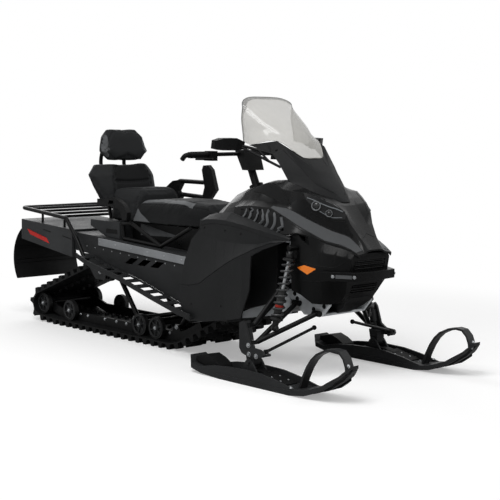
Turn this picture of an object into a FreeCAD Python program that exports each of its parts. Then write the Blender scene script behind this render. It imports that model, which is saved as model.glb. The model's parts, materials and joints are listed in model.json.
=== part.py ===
import FreeCAD, Part
import math
import os

# Utility snowmobile for two, in millimetres.
# +X is forward, +Y is left, +Z is up. The origin is on the floor under the middle of its length.

V = FreeCAD.Vector
os.makedirs("parts", exist_ok=True)

# Shared sizes
overrun = 30.0            # how far a cutting shape runs past what it cuts
seat_gap = 0.3            # running gap between pieces that only rest near each other
pin_gap = 0.08            # radial gap of a pin in its bore
flap_rear_x = -1650.0

# Track: belt, lugs and the circles that it runs round
track_half_width = 250.0
belt_thickness = 7.0
lug_height = 32.0
lug_count = 56
wheel_radius = 66.0
rail_end_x = -1180.0
bow_x = -40.0
bow_radius = 320.0
sprocket_x = 390.0
sprocket_z = 312.0
sprocket_radius = 86.0
upper_idler_x = -640.0
upper_idler_z = 400.0
rear_idler_x = -1349.0
rear_idler_lift = 14.0
rear_idler_radius = 70.0
belt_sag_gap = 3.0        # the belt is straight between its lugs, so round wheels stay this far inside
drive_lug_y = 95.0
drive_lug_width = 20.0
drive_lug_height = 18.0
lug_edge_width = 46.0
lug_mid_inner_y = 62.0
lug_mid_outer_y = 168.0
lug_centre_half_width = 40.0

# Skid under the tunnel
rail_y = 170.0
rail_thickness = 12.0
rail_height = 58.0
rail_gap = 0.8
rail_nose_share = 0.35
wheel_inner_y = 190.0
wheel_width = 28.0
hub_radius = 17.0
axle_radius = 11.0
rail_wheel_x_shares = (0.11, 0.747, 0.885)
rear_boss_radius = 30.0

# Tunnel and running boards
tunnel_half_width = 278.0
tunnel_wall = 4.0
tunnel_front_x = 530.0
tunnel_rear_x = -1470.0
tunnel_front_z = 553.0
tunnel_rear_z = 661.0
tunnel_foot_z = 232.0
hanger_width = 190.0
hanger_low_z = 352.0
board_thickness = 6.0
board_edge_y = 418.0
board_front_x = 372.0
board_rear_x = -700.0
board_front_z = 250.0
board_rear_z = 500.0
board_edge_height = 24.0
trim_thickness = 8.0
trim_front_x = 370.0
trim_rear_x = -648.0


# Making shapes

def polygon(corners):
    """Closed straight-sided wire."""
    return Part.makePolygon(list(corners) + [corners[0]])


def prism_xz(points, y_low, y_high):
    """Outline in the XZ plane, carried from y_low to y_high."""
    wire = polygon([V(x, y_low, z) for x, z in points])
    return Part.Face(wire).extrude(V(0, y_high - y_low, 0))


def prism_xy(points, z_low, z_high):
    """Outline in the XY plane, carried from z_low to z_high."""
    wire = polygon([V(x, y, z_low) for x, y in points])
    return Part.Face(wire).extrude(V(0, 0, z_high - z_low))


def prism_yz(points, x_low, x_high):
    """Outline in the YZ plane, carried from x_low to x_high."""
    wire = polygon([V(x_low, y, z) for y, z in points])
    return Part.Face(wire).extrude(V(x_high - x_low, 0, 0))


def loft(sections, smooth=False):
    """Solid through closed sections, each a list of points."""
    wires = [polygon(section) for section in sections]
    return Part.makeLoft(wires, True, not smooth)


def rod(start, end, radius):
    """Round bar between two points."""
    return Part.makeCylinder(radius, (end - start).Length, start, end - start)


def cross_rod(x, y_low, y_high, z, radius):
    """Round bar along Y."""
    return rod(V(x, y_low, z), V(x, y_high, z), radius)


def corner_arc(before, here, after, radius):
    """Start, middle and end of the arc that rounds one corner of a path."""
    back = (before - here).normalize()
    on = (after - here).normalize()
    half = back.getAngle(on) / 2
    reach = radius / math.tan(half)
    centre = here + (back + on).normalize() * (radius / math.sin(half))
    middle = centre + (here - centre).normalize() * radius
    return here + back * reach, middle, here + on * reach


def bent_path(points, bend):
    """Straight runs joined by tangent arcs of one radius."""
    edges = []
    last = points[0]
    for before, here, after in zip(points, points[1:], points[2:]):
        start, middle, end = corner_arc(before, here, after, bend)
        edges.append(Part.makeLine(last, start))
        edges.append(Part.Arc(start, middle, end).toShape())
        last = end
    edges.append(Part.makeLine(last, points[-1]))
    return Part.Wire(edges)


def tube(points, radius, bend):
    """Round bar bent along a path."""
    ring = Part.Wire(Part.makeCircle(radius, points[0], points[1] - points[0]))
    return bent_path(points, bend).makePipeShell([ring], True, False)


def fuse(first, *others):
    """One solid from touching solids."""
    return first.fuse(list(others)).removeSplitter()


def mirrored(shape):
    """The same shape on the other side of the middle plane."""
    return shape.mirror(V(0, 0, 0), V(0, 1, 0))


def both(shape):
    """A right-hand shape with its left-hand twin."""
    return [shape, mirrored(shape)]


def turned_ring(profile, x, z, y_sign=-1):
    """Ring about a Y axis through (x, z); the profile holds (radius, distance from the middle plane)."""
    wire = polygon([V(x + radius, y_sign * y, z) for radius, y in profile])
    return Part.Face(wire).revolve(V(x, 0, z), V(0, 1, 0), 360)


def save(name, *solids):
    """Write one node."""
    shape = solids[0] if len(solids) == 1 else Part.makeCompound(list(solids))
    count = len(shape.Solids)
    print(name, count, "solids", round(shape.Volume / 1e6, 3), "litres", "valid", shape.isValid())
    shape.exportStep("parts/" + name + ".step")
    return shape


# Track loop

belt_floor_z = lug_height + belt_thickness
wheel_z = belt_floor_z + wheel_radius
rear_idler_z = wheel_z + rear_idler_lift
pitch_radius_share = 0.5

loop_circles = (
    (rear_idler_x, rear_idler_z, rear_idler_radius),
    (rail_end_x, wheel_z, wheel_radius),
    (bow_x, belt_floor_z + bow_radius, bow_radius),
    (sprocket_x, sprocket_z, sprocket_radius),
    (upper_idler_x, upper_idler_z, wheel_radius),
)


def tangent_angle(first, second):
    """Direction of the belt where it runs from one circle to the next."""
    reach = math.hypot(second[0] - first[0], second[1] - first[1])
    slope = math.atan2(second[1] - first[1], second[0] - first[0])
    return slope + math.asin((first[2] - second[2]) / reach)


def loop_spans():
    """Arcs and straight runs of the belt's inner face, in order, as (length, start, angle, radius)."""
    spans = []
    circles = list(loop_circles)
    count = len(circles)
    angles = [tangent_angle(circles[i], circles[(i + 1) % count]) for i in range(count)]
    for i in range(count):
        x, z, radius = circles[i]
        arrive = angles[i - 1]
        leave = angles[i]
        turn = (leave - arrive) % (2 * math.pi)
        spans.append((turn * radius, (x, z), arrive, radius))
        start = (x + radius * math.sin(leave), z - radius * math.cos(leave))
        onward = circles[(i + 1) % count]
        end = (onward[0] + onward[2] * math.sin(leave), onward[1] - onward[2] * math.cos(leave))
        spans.append((math.hypot(end[0] - start[0], end[1] - start[1]), start, leave, 0))
    return spans


spans = loop_spans()
loop_length = sum(span[0] for span in spans)
lug_pitch = loop_length / lug_count
print("belt length", round(loop_length), "lug pitch", round(lug_pitch, 1))


def loop_point(distance, offset, along=0):
    """Point near the belt: distance round the loop, offset outwards from its inner face."""
    left = distance % loop_length
    for length, origin, angle, radius in spans:
        if left <= length:
            break
        left = left - length
    if radius:
        angle = angle + left / radius
        base = (origin[0] + radius * math.sin(angle), origin[1] - radius * math.cos(angle))
    else:
        base = (origin[0] + left * math.cos(angle), origin[1] + left * math.sin(angle))
    return (
        base[0] + offset * math.sin(angle) + along * math.cos(angle),
        base[1] - offset * math.cos(angle) + along * math.sin(angle),
    )


lug_foot_share = 0.30
lug_tip_share = 0.15
drive_lug_tip_share = 0.075


def belt_band(y_low, y_high, height, first=0, step=1):
    """Band of belt between two planes, with lugs of one height on some of its pitches."""
    outer = []
    inner = []
    for i in range(lug_count):
        middle = i * lug_pitch
        inner.append(loop_point(middle, 0))
        inner.append(loop_point(middle + lug_pitch / 2, 0))
        if height and i % step == first:
            for share, rise in ((-lug_foot_share, 0), (-lug_tip_share, height), (lug_tip_share, height),
                                (lug_foot_share, 0)):
                outer.append(loop_point(middle, belt_thickness + rise, share * lug_pitch))
        else:
            outer.append(loop_point(middle, belt_thickness))
        outer.append(loop_point(middle + lug_pitch / 2, belt_thickness))
    ring = Part.Face(polygon([V(x, y_low, z) for x, z in outer])).cut(
        Part.Face(polygon([V(x, y_low, z) for x, z in inner])))
    return ring.Faces[0].extrude(V(0, y_high - y_low, 0))


def drive_lugs():
    """Teeth on the belt's inner face that the sprockets push."""
    teeth = []
    for side in (-1, 1):
        y_low = side * drive_lug_y - drive_lug_width / 2
        for i in range(lug_count):
            middle = (i + pitch_radius_share) * lug_pitch
            feet = [loop_point(middle, offset, share * lug_pitch)
                    for offset, share in ((0, -lug_tip_share), (-drive_lug_height, -drive_lug_tip_share),
                                          (-drive_lug_height, drive_lug_tip_share), (0, lug_tip_share))]
            teeth.append(prism_xz(feet, y_low, y_low + drive_lug_width))
    return teeth


def make_track():
    lug_edge_y = track_half_width - lug_edge_width
    bands = [
        belt_band(-track_half_width, -lug_edge_y, lug_height),
        belt_band(-lug_edge_y, -lug_mid_outer_y, 0),
        belt_band(-lug_mid_outer_y, -lug_mid_inner_y, lug_height, 0, 2),
        belt_band(-lug_mid_inner_y, -lug_centre_half_width, 0),
        belt_band(-lug_centre_half_width, lug_centre_half_width, lug_height, 1, 2),
        belt_band(lug_centre_half_width, lug_mid_inner_y, 0),
        belt_band(lug_mid_inner_y, lug_mid_outer_y, lug_height, 0, 2),
        belt_band(lug_mid_outer_y, lug_edge_y, 0),
        belt_band(lug_edge_y, track_half_width, lug_height),
    ]
    return fuse(bands[0], *(bands[1:] + drive_lugs()))


save("track", make_track())


# Skid: rails, wheels and arms

flat_start = sum(span[0] for span in spans[:3])
flat_length = spans[3][0]
bow_length = spans[4][0]
bow_steps = 6


def make_rail():
    """Slide rail: a strip that follows the belt's flat run and the start of its climb."""
    last = flat_start + flat_length + bow_length + rail_nose_share * spans[5][0]
    stops = [flat_start - spans[2][0], flat_start + flat_length]
    stops += [flat_start + flat_length + bow_length * (i + 1) / bow_steps for i in range(bow_steps)]
    stops.append(last)
    low = [loop_point(stop, -rail_gap) for stop in stops]
    high = [loop_point(stop, -rail_gap - rail_height) for stop in reversed(stops)]
    runner = prism_xz(low + high, -rail_y - rail_thickness, -rail_y)
    boss = cross_rod(rear_idler_x, -rail_y - rail_thickness, -rail_y, rear_idler_z, rear_boss_radius)
    arm = prism_xz([(rear_idler_x, rear_idler_z + rear_boss_radius),
                    (rear_idler_x, rear_idler_z - rear_boss_radius),
                    low[0], high[-1]],
                   -rail_y - rail_thickness, -rail_y)
    return fuse(runner, boss, arm)


def wheel(x, z, radius, inner_y=wheel_inner_y, hub_inner_y=wheel_inner_y):
    """Rubber-rimmed wheel with a dished web, on the right side."""
    outer_y = inner_y + wheel_width
    rim = radius - wheel_width / 2
    web = wheel_width / 3
    profile = [(0, hub_inner_y), (hub_radius, hub_inner_y), (hub_radius, inner_y + web),
               (rim, inner_y + web), (rim, inner_y), (radius, inner_y), (radius, outer_y),
               (rim, outer_y), (rim, outer_y - web), (hub_radius, outer_y - web),
               (hub_radius, outer_y), (0, outer_y)]
    return turned_ring(profile, x, z)


rail_outer_y = rail_y + rail_thickness
rail_wheels = []
for share in rail_wheel_x_shares:
    wheel_x = rail_end_x + share * (bow_x - rail_end_x)
    rail_wheels += both(wheel(wheel_x, wheel_z, wheel_radius - seat_gap, wheel_inner_y, rail_outer_y))
save("rail_wheels", *rail_wheels)

rear_wheel_radius = rear_idler_radius - belt_sag_gap
rear_axle = cross_rod(rear_idler_x, -wheel_inner_y - wheel_width, wheel_inner_y + wheel_width,
                      rear_idler_z, axle_radius)
rear_wheels = both(wheel(rear_idler_x, rear_idler_z, rear_wheel_radius))
rear_idlers = fuse(rear_axle, *rear_wheels)

tunnel_inner_y = tunnel_half_width - tunnel_wall
upper_axle = cross_rod(upper_idler_x, -tunnel_inner_y, tunnel_inner_y, upper_idler_z, axle_radius)
upper_wheels = both(wheel(upper_idler_x, upper_idler_z, wheel_radius - belt_sag_gap))
save("idler_axles", rear_idlers, fuse(upper_axle, *upper_wheels))

rails = [rail.cut(rear_axle) for rail in both(make_rail())]

# Arms that hang the rails under the tunnel
arm_tube_radius = 15.0
arm_y = 148.0
front_arm_low_x = -20.0
front_arm_high_x = 200.0
front_arm_high_z = 372.0
rear_arm_low_x = -420.0
arm_low_z = wheel_z + rail_height / 3


def skid_arm(low_x, high_x, high_z, axle):
    """Pair of leaning tubes between a low cross shaft and a high one."""
    legs = [rod(V(low_x, side * arm_y, arm_low_z), V(high_x, side * arm_y, high_z), arm_tube_radius)
            for side in (-1, 1)]
    low = cross_rod(low_x, -rail_y, rail_y, arm_low_z, arm_tube_radius)
    pieces = legs + [low]
    if axle is None:
        pieces.append(cross_rod(high_x, -tunnel_inner_y, tunnel_inner_y, high_z, arm_tube_radius))
        return fuse(pieces[0], *pieces[1:])
    collar = cross_rod(high_x, -rail_y, rail_y, high_z, arm_tube_radius + axle_radius)
    return fuse(pieces[0], *(pieces[1:] + [collar])).cut(axle)


front_arm = skid_arm(front_arm_low_x, front_arm_high_x, front_arm_high_z, None)
rear_arm = skid_arm(rear_arm_low_x, upper_idler_x, upper_idler_z, upper_axle)
save("skid_arms", front_arm, rear_arm)

# The rails grow lugs that hold the arms' low shafts
lug_plates = []
for low_x in (front_arm_low_x, rear_arm_low_x):
    lug_plates.append(prism_xz(
        [(low_x - rail_height, belt_floor_z + rail_height / 2),
         (low_x + rail_height, belt_floor_z + rail_height / 2),
         (low_x + arm_tube_radius, arm_low_z + arm_tube_radius + rail_gap),
         (low_x - arm_tube_radius, arm_low_z + arm_tube_radius + rail_gap)],
        -rail_y - rail_thickness, -rail_y))
rails = [fuse(rail, *plates) for rail, plates in
         zip(rails, (lug_plates, [mirrored(plate) for plate in lug_plates]))]
save("slide_rails", *rails)

# Skid shock on the middle plane, from a bar between the rails up to the front arm
skid_shock_radius = 26.0
skid_rod_radius = 10.0
skid_shock_low_x = -300.0
skid_shock_height_share = 0.45     # of the way up the front arm
damper_start_share = 0.45
damper_end_share = 0.92


def make_skid_shock():
    low = V(skid_shock_low_x, 0, arm_low_z)
    front_link = V(front_arm_high_x - front_arm_low_x, 0, front_arm_high_z - arm_low_z)
    high = V(front_arm_low_x, 0, arm_low_z) + front_link * skid_shock_height_share
    along = high - low
    damper = rod(low + along * damper_start_share, low + along * damper_end_share, skid_shock_radius)
    high_bar = cross_rod(high.x, -arm_y, arm_y, high.z, skid_rod_radius)
    low_bar = cross_rod(low.x, -rail_y, rail_y, low.z, skid_rod_radius)
    return fuse(rod(low, high, skid_rod_radius), damper, high_bar.cut(front_arm), low_bar).cut(front_arm)


save("skid_shock", make_skid_shock())

# Drive axle with its toothed sprockets
drum_y = 140.0
drum_width = 26.0
drum_tooth_count = 9
drum_tooth_share = 0.4    # half a tooth's width, in shares of half the pitch
shaft_radius = 16.0


def make_drive_axle():
    shaft = cross_rod(sprocket_x, -tunnel_inner_y, tunnel_inner_y, sprocket_z, shaft_radius)
    drums = []
    tip = sprocket_radius - belt_sag_gap - seat_gap
    root = tip - drive_lug_height / 2
    for side in (-1, 1):
        rim = []
        for i in range(2 * drum_tooth_count):
            angle = math.pi * i / drum_tooth_count
            half = math.pi / drum_tooth_count * drum_tooth_share
            reach = tip if i % 2 else root
            for shift in (-half, half):
                rim.append((sprocket_x + reach * math.cos(angle + shift),
                            sprocket_z + reach * math.sin(angle + shift)))
        y_low = side * drum_y - drum_width / 2
        drums.append(prism_xz(rim, y_low, y_low + drum_width))
    return fuse(shaft, *drums)


save("drive_axle", make_drive_axle())


# Tunnel

def tunnel_top_z(x):
    """Height of the tunnel's roof."""
    share = (tunnel_front_x - x) / (tunnel_front_x - tunnel_rear_x)
    return tunnel_front_z + share * (tunnel_rear_z - tunnel_front_z)


board_line_shares = ((0.0, 0.0), (0.10, 0.06), (0.33, 0.30), (0.59, 0.59), (0.90, 0.85), (1.0, 1.0))
board_line = [(board_front_x + u * (board_rear_x - board_front_x),
               board_front_z + w * (board_rear_z - board_front_z)) for u, w in board_line_shares]
tail_low_rise = 62.0


def make_tunnel():
    low_rear = (tunnel_rear_x, board_rear_z + tail_low_rise)
    side = [(tunnel_front_x, tunnel_front_z), (tunnel_rear_x, tunnel_rear_z), low_rear]
    side += list(reversed(board_line)) + [(tunnel_front_x, tunnel_foot_z)]
    outer = prism_xz(side, -tunnel_half_width, tunnel_half_width)
    inside = [(tunnel_front_x - tunnel_wall, tunnel_front_z - tunnel_wall),
              (tunnel_rear_x - overrun, tunnel_rear_z - tunnel_wall),
              (tunnel_rear_x - overrun, -overrun), (tunnel_front_x - tunnel_wall, -overrun)]
    shell = outer.cut(prism_xz(inside, -tunnel_inner_y, tunnel_inner_y))
    hanger = prism_xz([(upper_idler_x - hanger_width, board_rear_z + tunnel_wall),
                       (upper_idler_x - hanger_width / 4, hanger_low_z),
                       (upper_idler_x + hanger_width / 4, hanger_low_z),
                       (upper_idler_x + hanger_width / 2, board_rear_z + tunnel_wall)],
                      -tunnel_half_width, -tunnel_inner_y)
    return fuse(shell, *both(hanger))


tunnel = make_tunnel()


# Running boards: a ramp of open grating with a toothed outer edge

grate_count = 12
grate_start_share = 0.3
grate_slot_share = 0.55
grate_inner_margin = 16.0
tooth_count = 40
tooth_height = 9.0
tooth_gap_share = 0.5


def make_board():
    """Right-hand running board."""
    top = [(x, z) for x, z in board_line]
    low = [(x, z - board_thickness) for x, z in reversed(board_line)]
    plate = prism_xz(top + low, -board_edge_y, -tunnel_half_width)
    edge_top = [(x, z + board_edge_height) for x, z in board_line]
    lip = prism_xz(edge_top + low, -board_edge_y, -board_edge_y + board_thickness)
    cuts = []
    length = board_front_x - board_rear_x
    for i in range(grate_count):
        x_low = board_rear_x + length * (i + grate_start_share) / grate_count
        x_high = x_low + length * grate_slot_share / grate_count
        cuts.append(Part.makeBox(x_high - x_low, board_edge_y - tunnel_half_width - 2 * grate_inner_margin,
                                 board_rear_z, V(x_low, -board_edge_y + grate_inner_margin, board_front_z / 2)))
    for i in range(1, tooth_count):
        x = board_rear_x + length * i / tooth_count
        gap = length / tooth_count * tooth_gap_share
        high_z = board_edge_z(x)
        cuts.append(prism_xz([(x - gap / 2, high_z + overrun), (x, high_z - tooth_height),
                              (x + gap / 2, high_z + overrun)],
                             -board_edge_y - overrun, -board_edge_y + board_thickness + seat_gap))
    return fuse(plate, lip).cut(cuts)


def board_edge_z(x):
    """Height of the board's outer edge."""
    for (x_front, z_front), (x_back, z_back) in zip(board_line, board_line[1:]):
        if x >= x_back:
            break
    return z_back + (z_front - z_back) * (x - x_back) / (x_front - x_back) + board_edge_height


board = make_board()
save("running_board_right", board)
save("running_board_left", mirrored(board))

vent_x_shares = (0.32, 0.44, 0.56)
vent_width = 70.0
vent_height = 38.0
vent_lean = 60.0
vent_z_share = 0.62
for share in vent_x_shares:
    vent_x = trim_rear_x + share * (trim_front_x - trim_rear_x) - vent_width
    vent_z = board_front_z + vent_z_share * (tunnel_front_z - board_front_z) + vent_height
    vent = prism_xz([(vent_x, vent_z), (vent_x + vent_width, vent_z), (vent_x + vent_width + vent_lean,
                     vent_z + vent_height), (vent_x + vent_lean, vent_z + vent_height)],
                    -tunnel_half_width - overrun, tunnel_half_width + overrun)
    tunnel = tunnel.cut(vent)
save("tunnel", tunnel)

trim_height = 46.0
trim_drop = 6.0
trim = prism_xz([(trim_front_x, tunnel_top_z(trim_front_x) - trim_drop),
                 (trim_rear_x, tunnel_top_z(trim_rear_x) - trim_drop),
                 (trim_rear_x, tunnel_top_z(trim_rear_x) - trim_drop - trim_height),
                 (trim_front_x, tunnel_top_z(trim_front_x) - trim_drop - trim_height)],
                -tunnel_half_width - trim_thickness, -tunnel_half_width)
save("side_trims", *both(trim))


# Tail: cover, lamps, flap, hitch and rack

cover_front_x = -905.0
cover_rear_x = -1482.0
cover_half_width = 300.0
cover_top_rise = 14.0
cover_front_low_z = 470.0
cover_rear_low_z = 545.0


def make_tail_cover():
    top_front = tunnel_top_z(cover_front_x) + cover_top_rise
    top_rear = tunnel_top_z(cover_rear_x) + cover_top_rise
    side = [(cover_front_x, top_front), (cover_rear_x, top_rear), (cover_rear_x, cover_rear_low_z),
            (cover_front_x, cover_front_low_z)]
    outer = prism_xz(side, -cover_half_width, cover_half_width)
    bay = [(tunnel_front_x, tunnel_front_z), (tunnel_rear_x, tunnel_rear_z),
           (tunnel_rear_x, -overrun), (tunnel_front_x, -overrun)]
    shell = outer.cut(prism_xz(bay, -tunnel_half_width, tunnel_half_width))
    return shell


tail_cover = make_tail_cover()

lamp_rear_x = -1377.0
lamp_front_x = -1157.0
lamp_z = 575.0
lamp_height = 34.0
tail_lamp_depth = 12.0
lamp_lean = 22.0
lamp = prism_xz([(lamp_rear_x, lamp_z + lamp_lean - lamp_height / 2),
                 (lamp_front_x, lamp_z - lamp_lean - lamp_height / 2),
                 (lamp_front_x - lamp_height, lamp_z - lamp_lean + lamp_height / 2),
                 (lamp_rear_x - lamp_height, lamp_z + lamp_lean + lamp_height / 2)],
                -cover_half_width, -cover_half_width + tail_lamp_depth)
tail_cover = tail_cover.cut(both(lamp))
save("tail_cover", tail_cover)
save("tail_lamps", *both(lamp))

flap_thickness = 8.0
flap_top_z = 640.0
flap_low_z = 262.0
flap_half_width = 255.0
flap_bulge_share = 0.3
flap_toe_in = 40.0


def make_flap():
    """Snow flap: a bowed sheet that hangs behind the track and just reaches flap_rear_x."""
    top = V(cover_rear_x - flap_thickness / 2, -flap_half_width, flap_top_z)
    bulge_z = flap_low_z + (flap_top_z - flap_low_z) * flap_bulge_share
    bulge = V(flap_rear_x, -flap_half_width, bulge_z)
    low = V(flap_rear_x + flap_toe_in, -flap_half_width, flap_low_z)
    bow = Part.Circle(top, bulge, low)
    outer_line = Part.Arc(top, bulge, low).toShape()
    outer_line.translate(V(flap_rear_x - (bow.Center.x - bow.Radius), 0, 0))
    face = Part.makeRuledSurface(outer_line, outer_line.translated(V(flap_thickness, 0, 0)))
    return face.extrude(V(0, 2 * flap_half_width, 0))


flap = make_flap()
flap = flap.cut(prism_xz([(cover_rear_x, -overrun), (cover_rear_x, flap_top_z * 2), (0, flap_top_z * 2),
                          (0, -overrun)], -flap_half_width - overrun, flap_half_width + overrun))

rack_y = 306.0
rack_tube_radius = 13.0
rack_bend = 60.0
rack_rear_x = -1452.0
rack_rear_z = 752.0
rack_front_x = -960.0
rack_front_z = 715.0
rack_knee_x = -850.0
rack_foot_x = -760.0
rack_foot_z = 470.0
rack_bar_count = 4
rack_bar_start_share = 0.5
rack_bar_radius = 9.0
rack_post_radius = 8.0
rack_post_bars = (0, 2)


def make_rack():
    """Cargo rack: a bent outer loop, cross bars and posts down to the tail cover."""
    right = [V(rack_foot_x, -rack_y, rack_foot_z), V(rack_knee_x, -rack_y, rack_front_z - rack_bend * 2),
             V(rack_front_x, -rack_y, rack_front_z), V(rack_rear_x, -rack_y, rack_rear_z)]
    left = [V(p.x, -p.y, p.z) for p in reversed(right)]
    loop = tube(right + left, rack_tube_radius, rack_bend / 2)
    pieces = [loop]
    post_y = cover_half_width - rack_tube_radius * 2
    for i in range(rack_bar_count):
        share = (i + rack_bar_start_share) / rack_bar_count
        x = rack_front_x + share * (rack_rear_x - rack_front_x)
        z = rack_front_z + share * (rack_rear_z - rack_front_z)
        pieces.append(cross_rod(x, -rack_y, rack_y, z, rack_bar_radius))
        if i in rack_post_bars:
            foot_z = tunnel_top_z(x) + cover_top_rise
            pieces += both(rod(V(x, -post_y, foot_z), V(x, -post_y, z), rack_post_radius))
    ties = both(cross_rod(rack_foot_x, -rack_y, -tunnel_half_width, rack_foot_z, rack_bar_radius))
    return fuse(pieces[0], *(pieces[1:] + ties)).cut(tail_cover).cut(tunnel)


save("rear_rack", make_rack())

hitch_width = 70.0
hitch_length = 112.0
hitch_thickness = 14.0
hitch_bore_radius = 8.5
hitch_z = 556.0
hitch_flange_height = 52.0
hitch_bore_inset = 24.0
hitch_slot_gap = 6.0


def make_hitch():
    """Towing tongue: a flange on the tail cover's rear wall and a bored plate."""
    rear_x = cover_rear_x - hitch_length
    plate = prism_xz([(cover_rear_x, hitch_z), (rear_x, hitch_z), (rear_x, hitch_z + hitch_thickness),
                      (cover_rear_x, hitch_z + hitch_thickness)], -hitch_width / 2, hitch_width / 2)
    flange = prism_xz([(cover_rear_x, hitch_z), (cover_rear_x - hitch_thickness, hitch_z),
                       (cover_rear_x - hitch_thickness, hitch_z + hitch_flange_height),
                       (cover_rear_x, hitch_z + hitch_flange_height)], -hitch_width / 2, hitch_width / 2)
    bore = rod(V(rear_x + hitch_bore_inset, 0, hitch_z - overrun),
               V(rear_x + hitch_bore_inset, 0, hitch_z + overrun), hitch_bore_radius)
    return fuse(plate, flange).cut(bore)


hitch = make_hitch()
hitch_room = prism_xz([(cover_rear_x - hitch_length - overrun, hitch_z - hitch_slot_gap),
                       (cover_rear_x, hitch_z - hitch_slot_gap),
                       (cover_rear_x, hitch_z + hitch_flange_height + hitch_slot_gap),
                       (cover_rear_x - hitch_length - overrun, hitch_z + hitch_flange_height + hitch_slot_gap)],
                      -hitch_width / 2 - hitch_slot_gap, hitch_width / 2 + hitch_slot_gap)
save("snow_flap", flap.cut(hitch_room))
save("hitch", hitch)


# Seats

pedestal_half_width = 150.0
pedestal_front_x = 205.0
pedestal_rear_x = -480.0
seat_floor_z = 716.0
pedestal = prism_xz([(pedestal_front_x, tunnel_top_z(pedestal_front_x)),
                     (pedestal_rear_x, tunnel_top_z(pedestal_rear_x)),
                     (pedestal_rear_x, seat_floor_z), (pedestal_front_x, seat_floor_z)],
                    -pedestal_half_width, pedestal_half_width)
save("seat_pedestal", pedestal)

seat_top_z = 868.0
seat_top_half_width = 118.0
seat_low_half_width = 215.0
seat_front_x = 235.0
seat_rear_x = -404.0
shoulder_share = 0.22
# share of the length from the rear, change of the top's height, width shares at the top and the bottom
seat_stations = ((0.0, -16, 1.0, 1.0), (0.32, 0, 1.0, 1.0), (0.63, 4, 0.95, 0.95), (0.93, -12, 0.8, 0.75),
                 (1.0, -60, 0.65, 0.6))


def seat_section(x, top_z, low_z, top_half, low_half):
    """Cushion cross-section with rounded shoulders."""
    shoulder_z = top_z - (top_z - low_z) * shoulder_share
    right = [(-top_half, top_z), (-(top_half + low_half) / 2, shoulder_z), (-low_half, low_z)]
    left = [(-y, z) for y, z in reversed(right)]
    return [V(x, y, z) for y, z in right + left]


driver_seat = loft([
    seat_section(seat_rear_x + share * (seat_front_x - seat_rear_x), seat_top_z + rise, seat_floor_z + seat_gap,
                 seat_top_half_width * top_share, seat_low_half_width * low_share)
    for share, rise, top_share, low_share in seat_stations])
save("driver_seat", driver_seat)

frame_y = 232.0
frame_tube_radius = 12.0
frame_low_x = -102.0
frame_back_x = -457.0
frame_front_top = (161.0, 724.0)
frame_rear_top = (-383.0, 716.0)
frame_stay_top = (-470.0, 708.0)


def make_seat_frame():
    """Right-hand V of tubes that carries the seat above the tunnel."""
    low, back = [V(x, -frame_y, tunnel_top_z(x) + frame_tube_radius + seat_gap)
                 for x in (frame_low_x, frame_back_x)]
    front_top, rear_top, stay_top = [V(x, -frame_y, z)
                                     for x, z in (frame_front_top, frame_rear_top, frame_stay_top)]
    runs = ((low, front_top), (low, rear_top), (back, stay_top), (stay_top, rear_top), (low, back))
    tubes = [rod(start, end, frame_tube_radius) for start, end in runs]
    return fuse(tubes[0], *tubes[1:])


save("seat_frames", *both(make_seat_frame()))


# Passenger seat, backrest and headrest
passenger_front_x = -408.0
passenger_rear_x = -640.0
passenger_top_z = 925.0
passenger_half_width = 205.0
passenger_top_drop = 8.0
passenger_rear_share = 0.8
passenger_front_share = 0.62
base_rear_x = -799.0
base_front_x = -484.0
base_half_width = 235.0
base_foot_x = -634.0
base_lip = 40.0
base_notch_x = -500.0

passenger_seat = loft([
    seat_section(passenger_rear_x, passenger_top_z - passenger_top_drop, seat_floor_z + seat_gap,
                 passenger_half_width * passenger_rear_share, passenger_half_width),
    seat_section(passenger_front_x, passenger_top_z, seat_floor_z + seat_gap,
                 passenger_half_width * passenger_front_share, passenger_half_width),
])

base_outline = [(base_front_x, tunnel_top_z(base_front_x)), (base_foot_x, tunnel_top_z(base_foot_x)),
                (base_rear_x, seat_floor_z - base_lip), (base_rear_x, seat_floor_z),
                (base_front_x, seat_floor_z)]
passenger_base = prism_xz(base_outline, -base_half_width, base_half_width)
base_notch = prism_xz([(base_front_x + overrun, 0), (base_notch_x, 0), (base_notch_x, seat_floor_z + overrun),
                       (base_front_x + overrun, seat_floor_z + overrun)],
                      -base_half_width - overrun, -frame_y + frame_tube_radius * 2)
passenger_base = passenger_base.cut(both(base_notch))
save("passenger_base", passenger_base)
save("passenger_seat", passenger_seat)

back_thickness = 105.0
back_low_z = 806.0
back_top_z = 1062.0
back_low_x = -648.0
back_lean = 62.0
back_half_width = 145.0
back_wing_half_width = 250.0
back_wing_sweep = 95.0
back_front_share = 0.55
back_shoulder_shares = (0.15, 1.0)
back_tip_share = 0.93
back_rear_shares = (0.2, 0.9)
# height share, then shares of the half width, the wing's half width and the wing's sweep
back_levels = ((0.0, 0.95, 0.76, 0.15), (0.44, 1.0, 0.93, 0.75), (0.73, 0.95, 1.0, 1.0), (1.0, 0.66, 0.78, 0.8))


def back_section(z, half, wing_half, wing_back, front_x):
    """Horizontal cross-section of the backrest, with wings that bend back from the rider."""
    rear_x = front_x - back_thickness
    right = [(front_x, -half * back_front_share),
             (front_x + wing_back * back_shoulder_shares[0], -half * back_shoulder_shares[1]),
             (front_x - wing_back, -wing_half),
             (rear_x - wing_back * back_rear_shares[0], -wing_half * back_tip_share),
             (rear_x, -half * back_rear_shares[1])]
    left = [(x, -y) for x, y in reversed(right)]
    return [V(x, y, z) for x, y in right + left]


def make_backrest():
    sections = []
    for share, half_share, wing_share, sweep_share in back_levels:
        z = back_low_z + share * (back_top_z - back_low_z)
        sections.append(back_section(z, back_half_width * half_share, back_wing_half_width * wing_share,
                                     back_wing_sweep * sweep_share, back_low_x - share * back_lean))
    return loft(sections)


backrest = make_backrest()
save("backrest_cushion", backrest)

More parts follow.
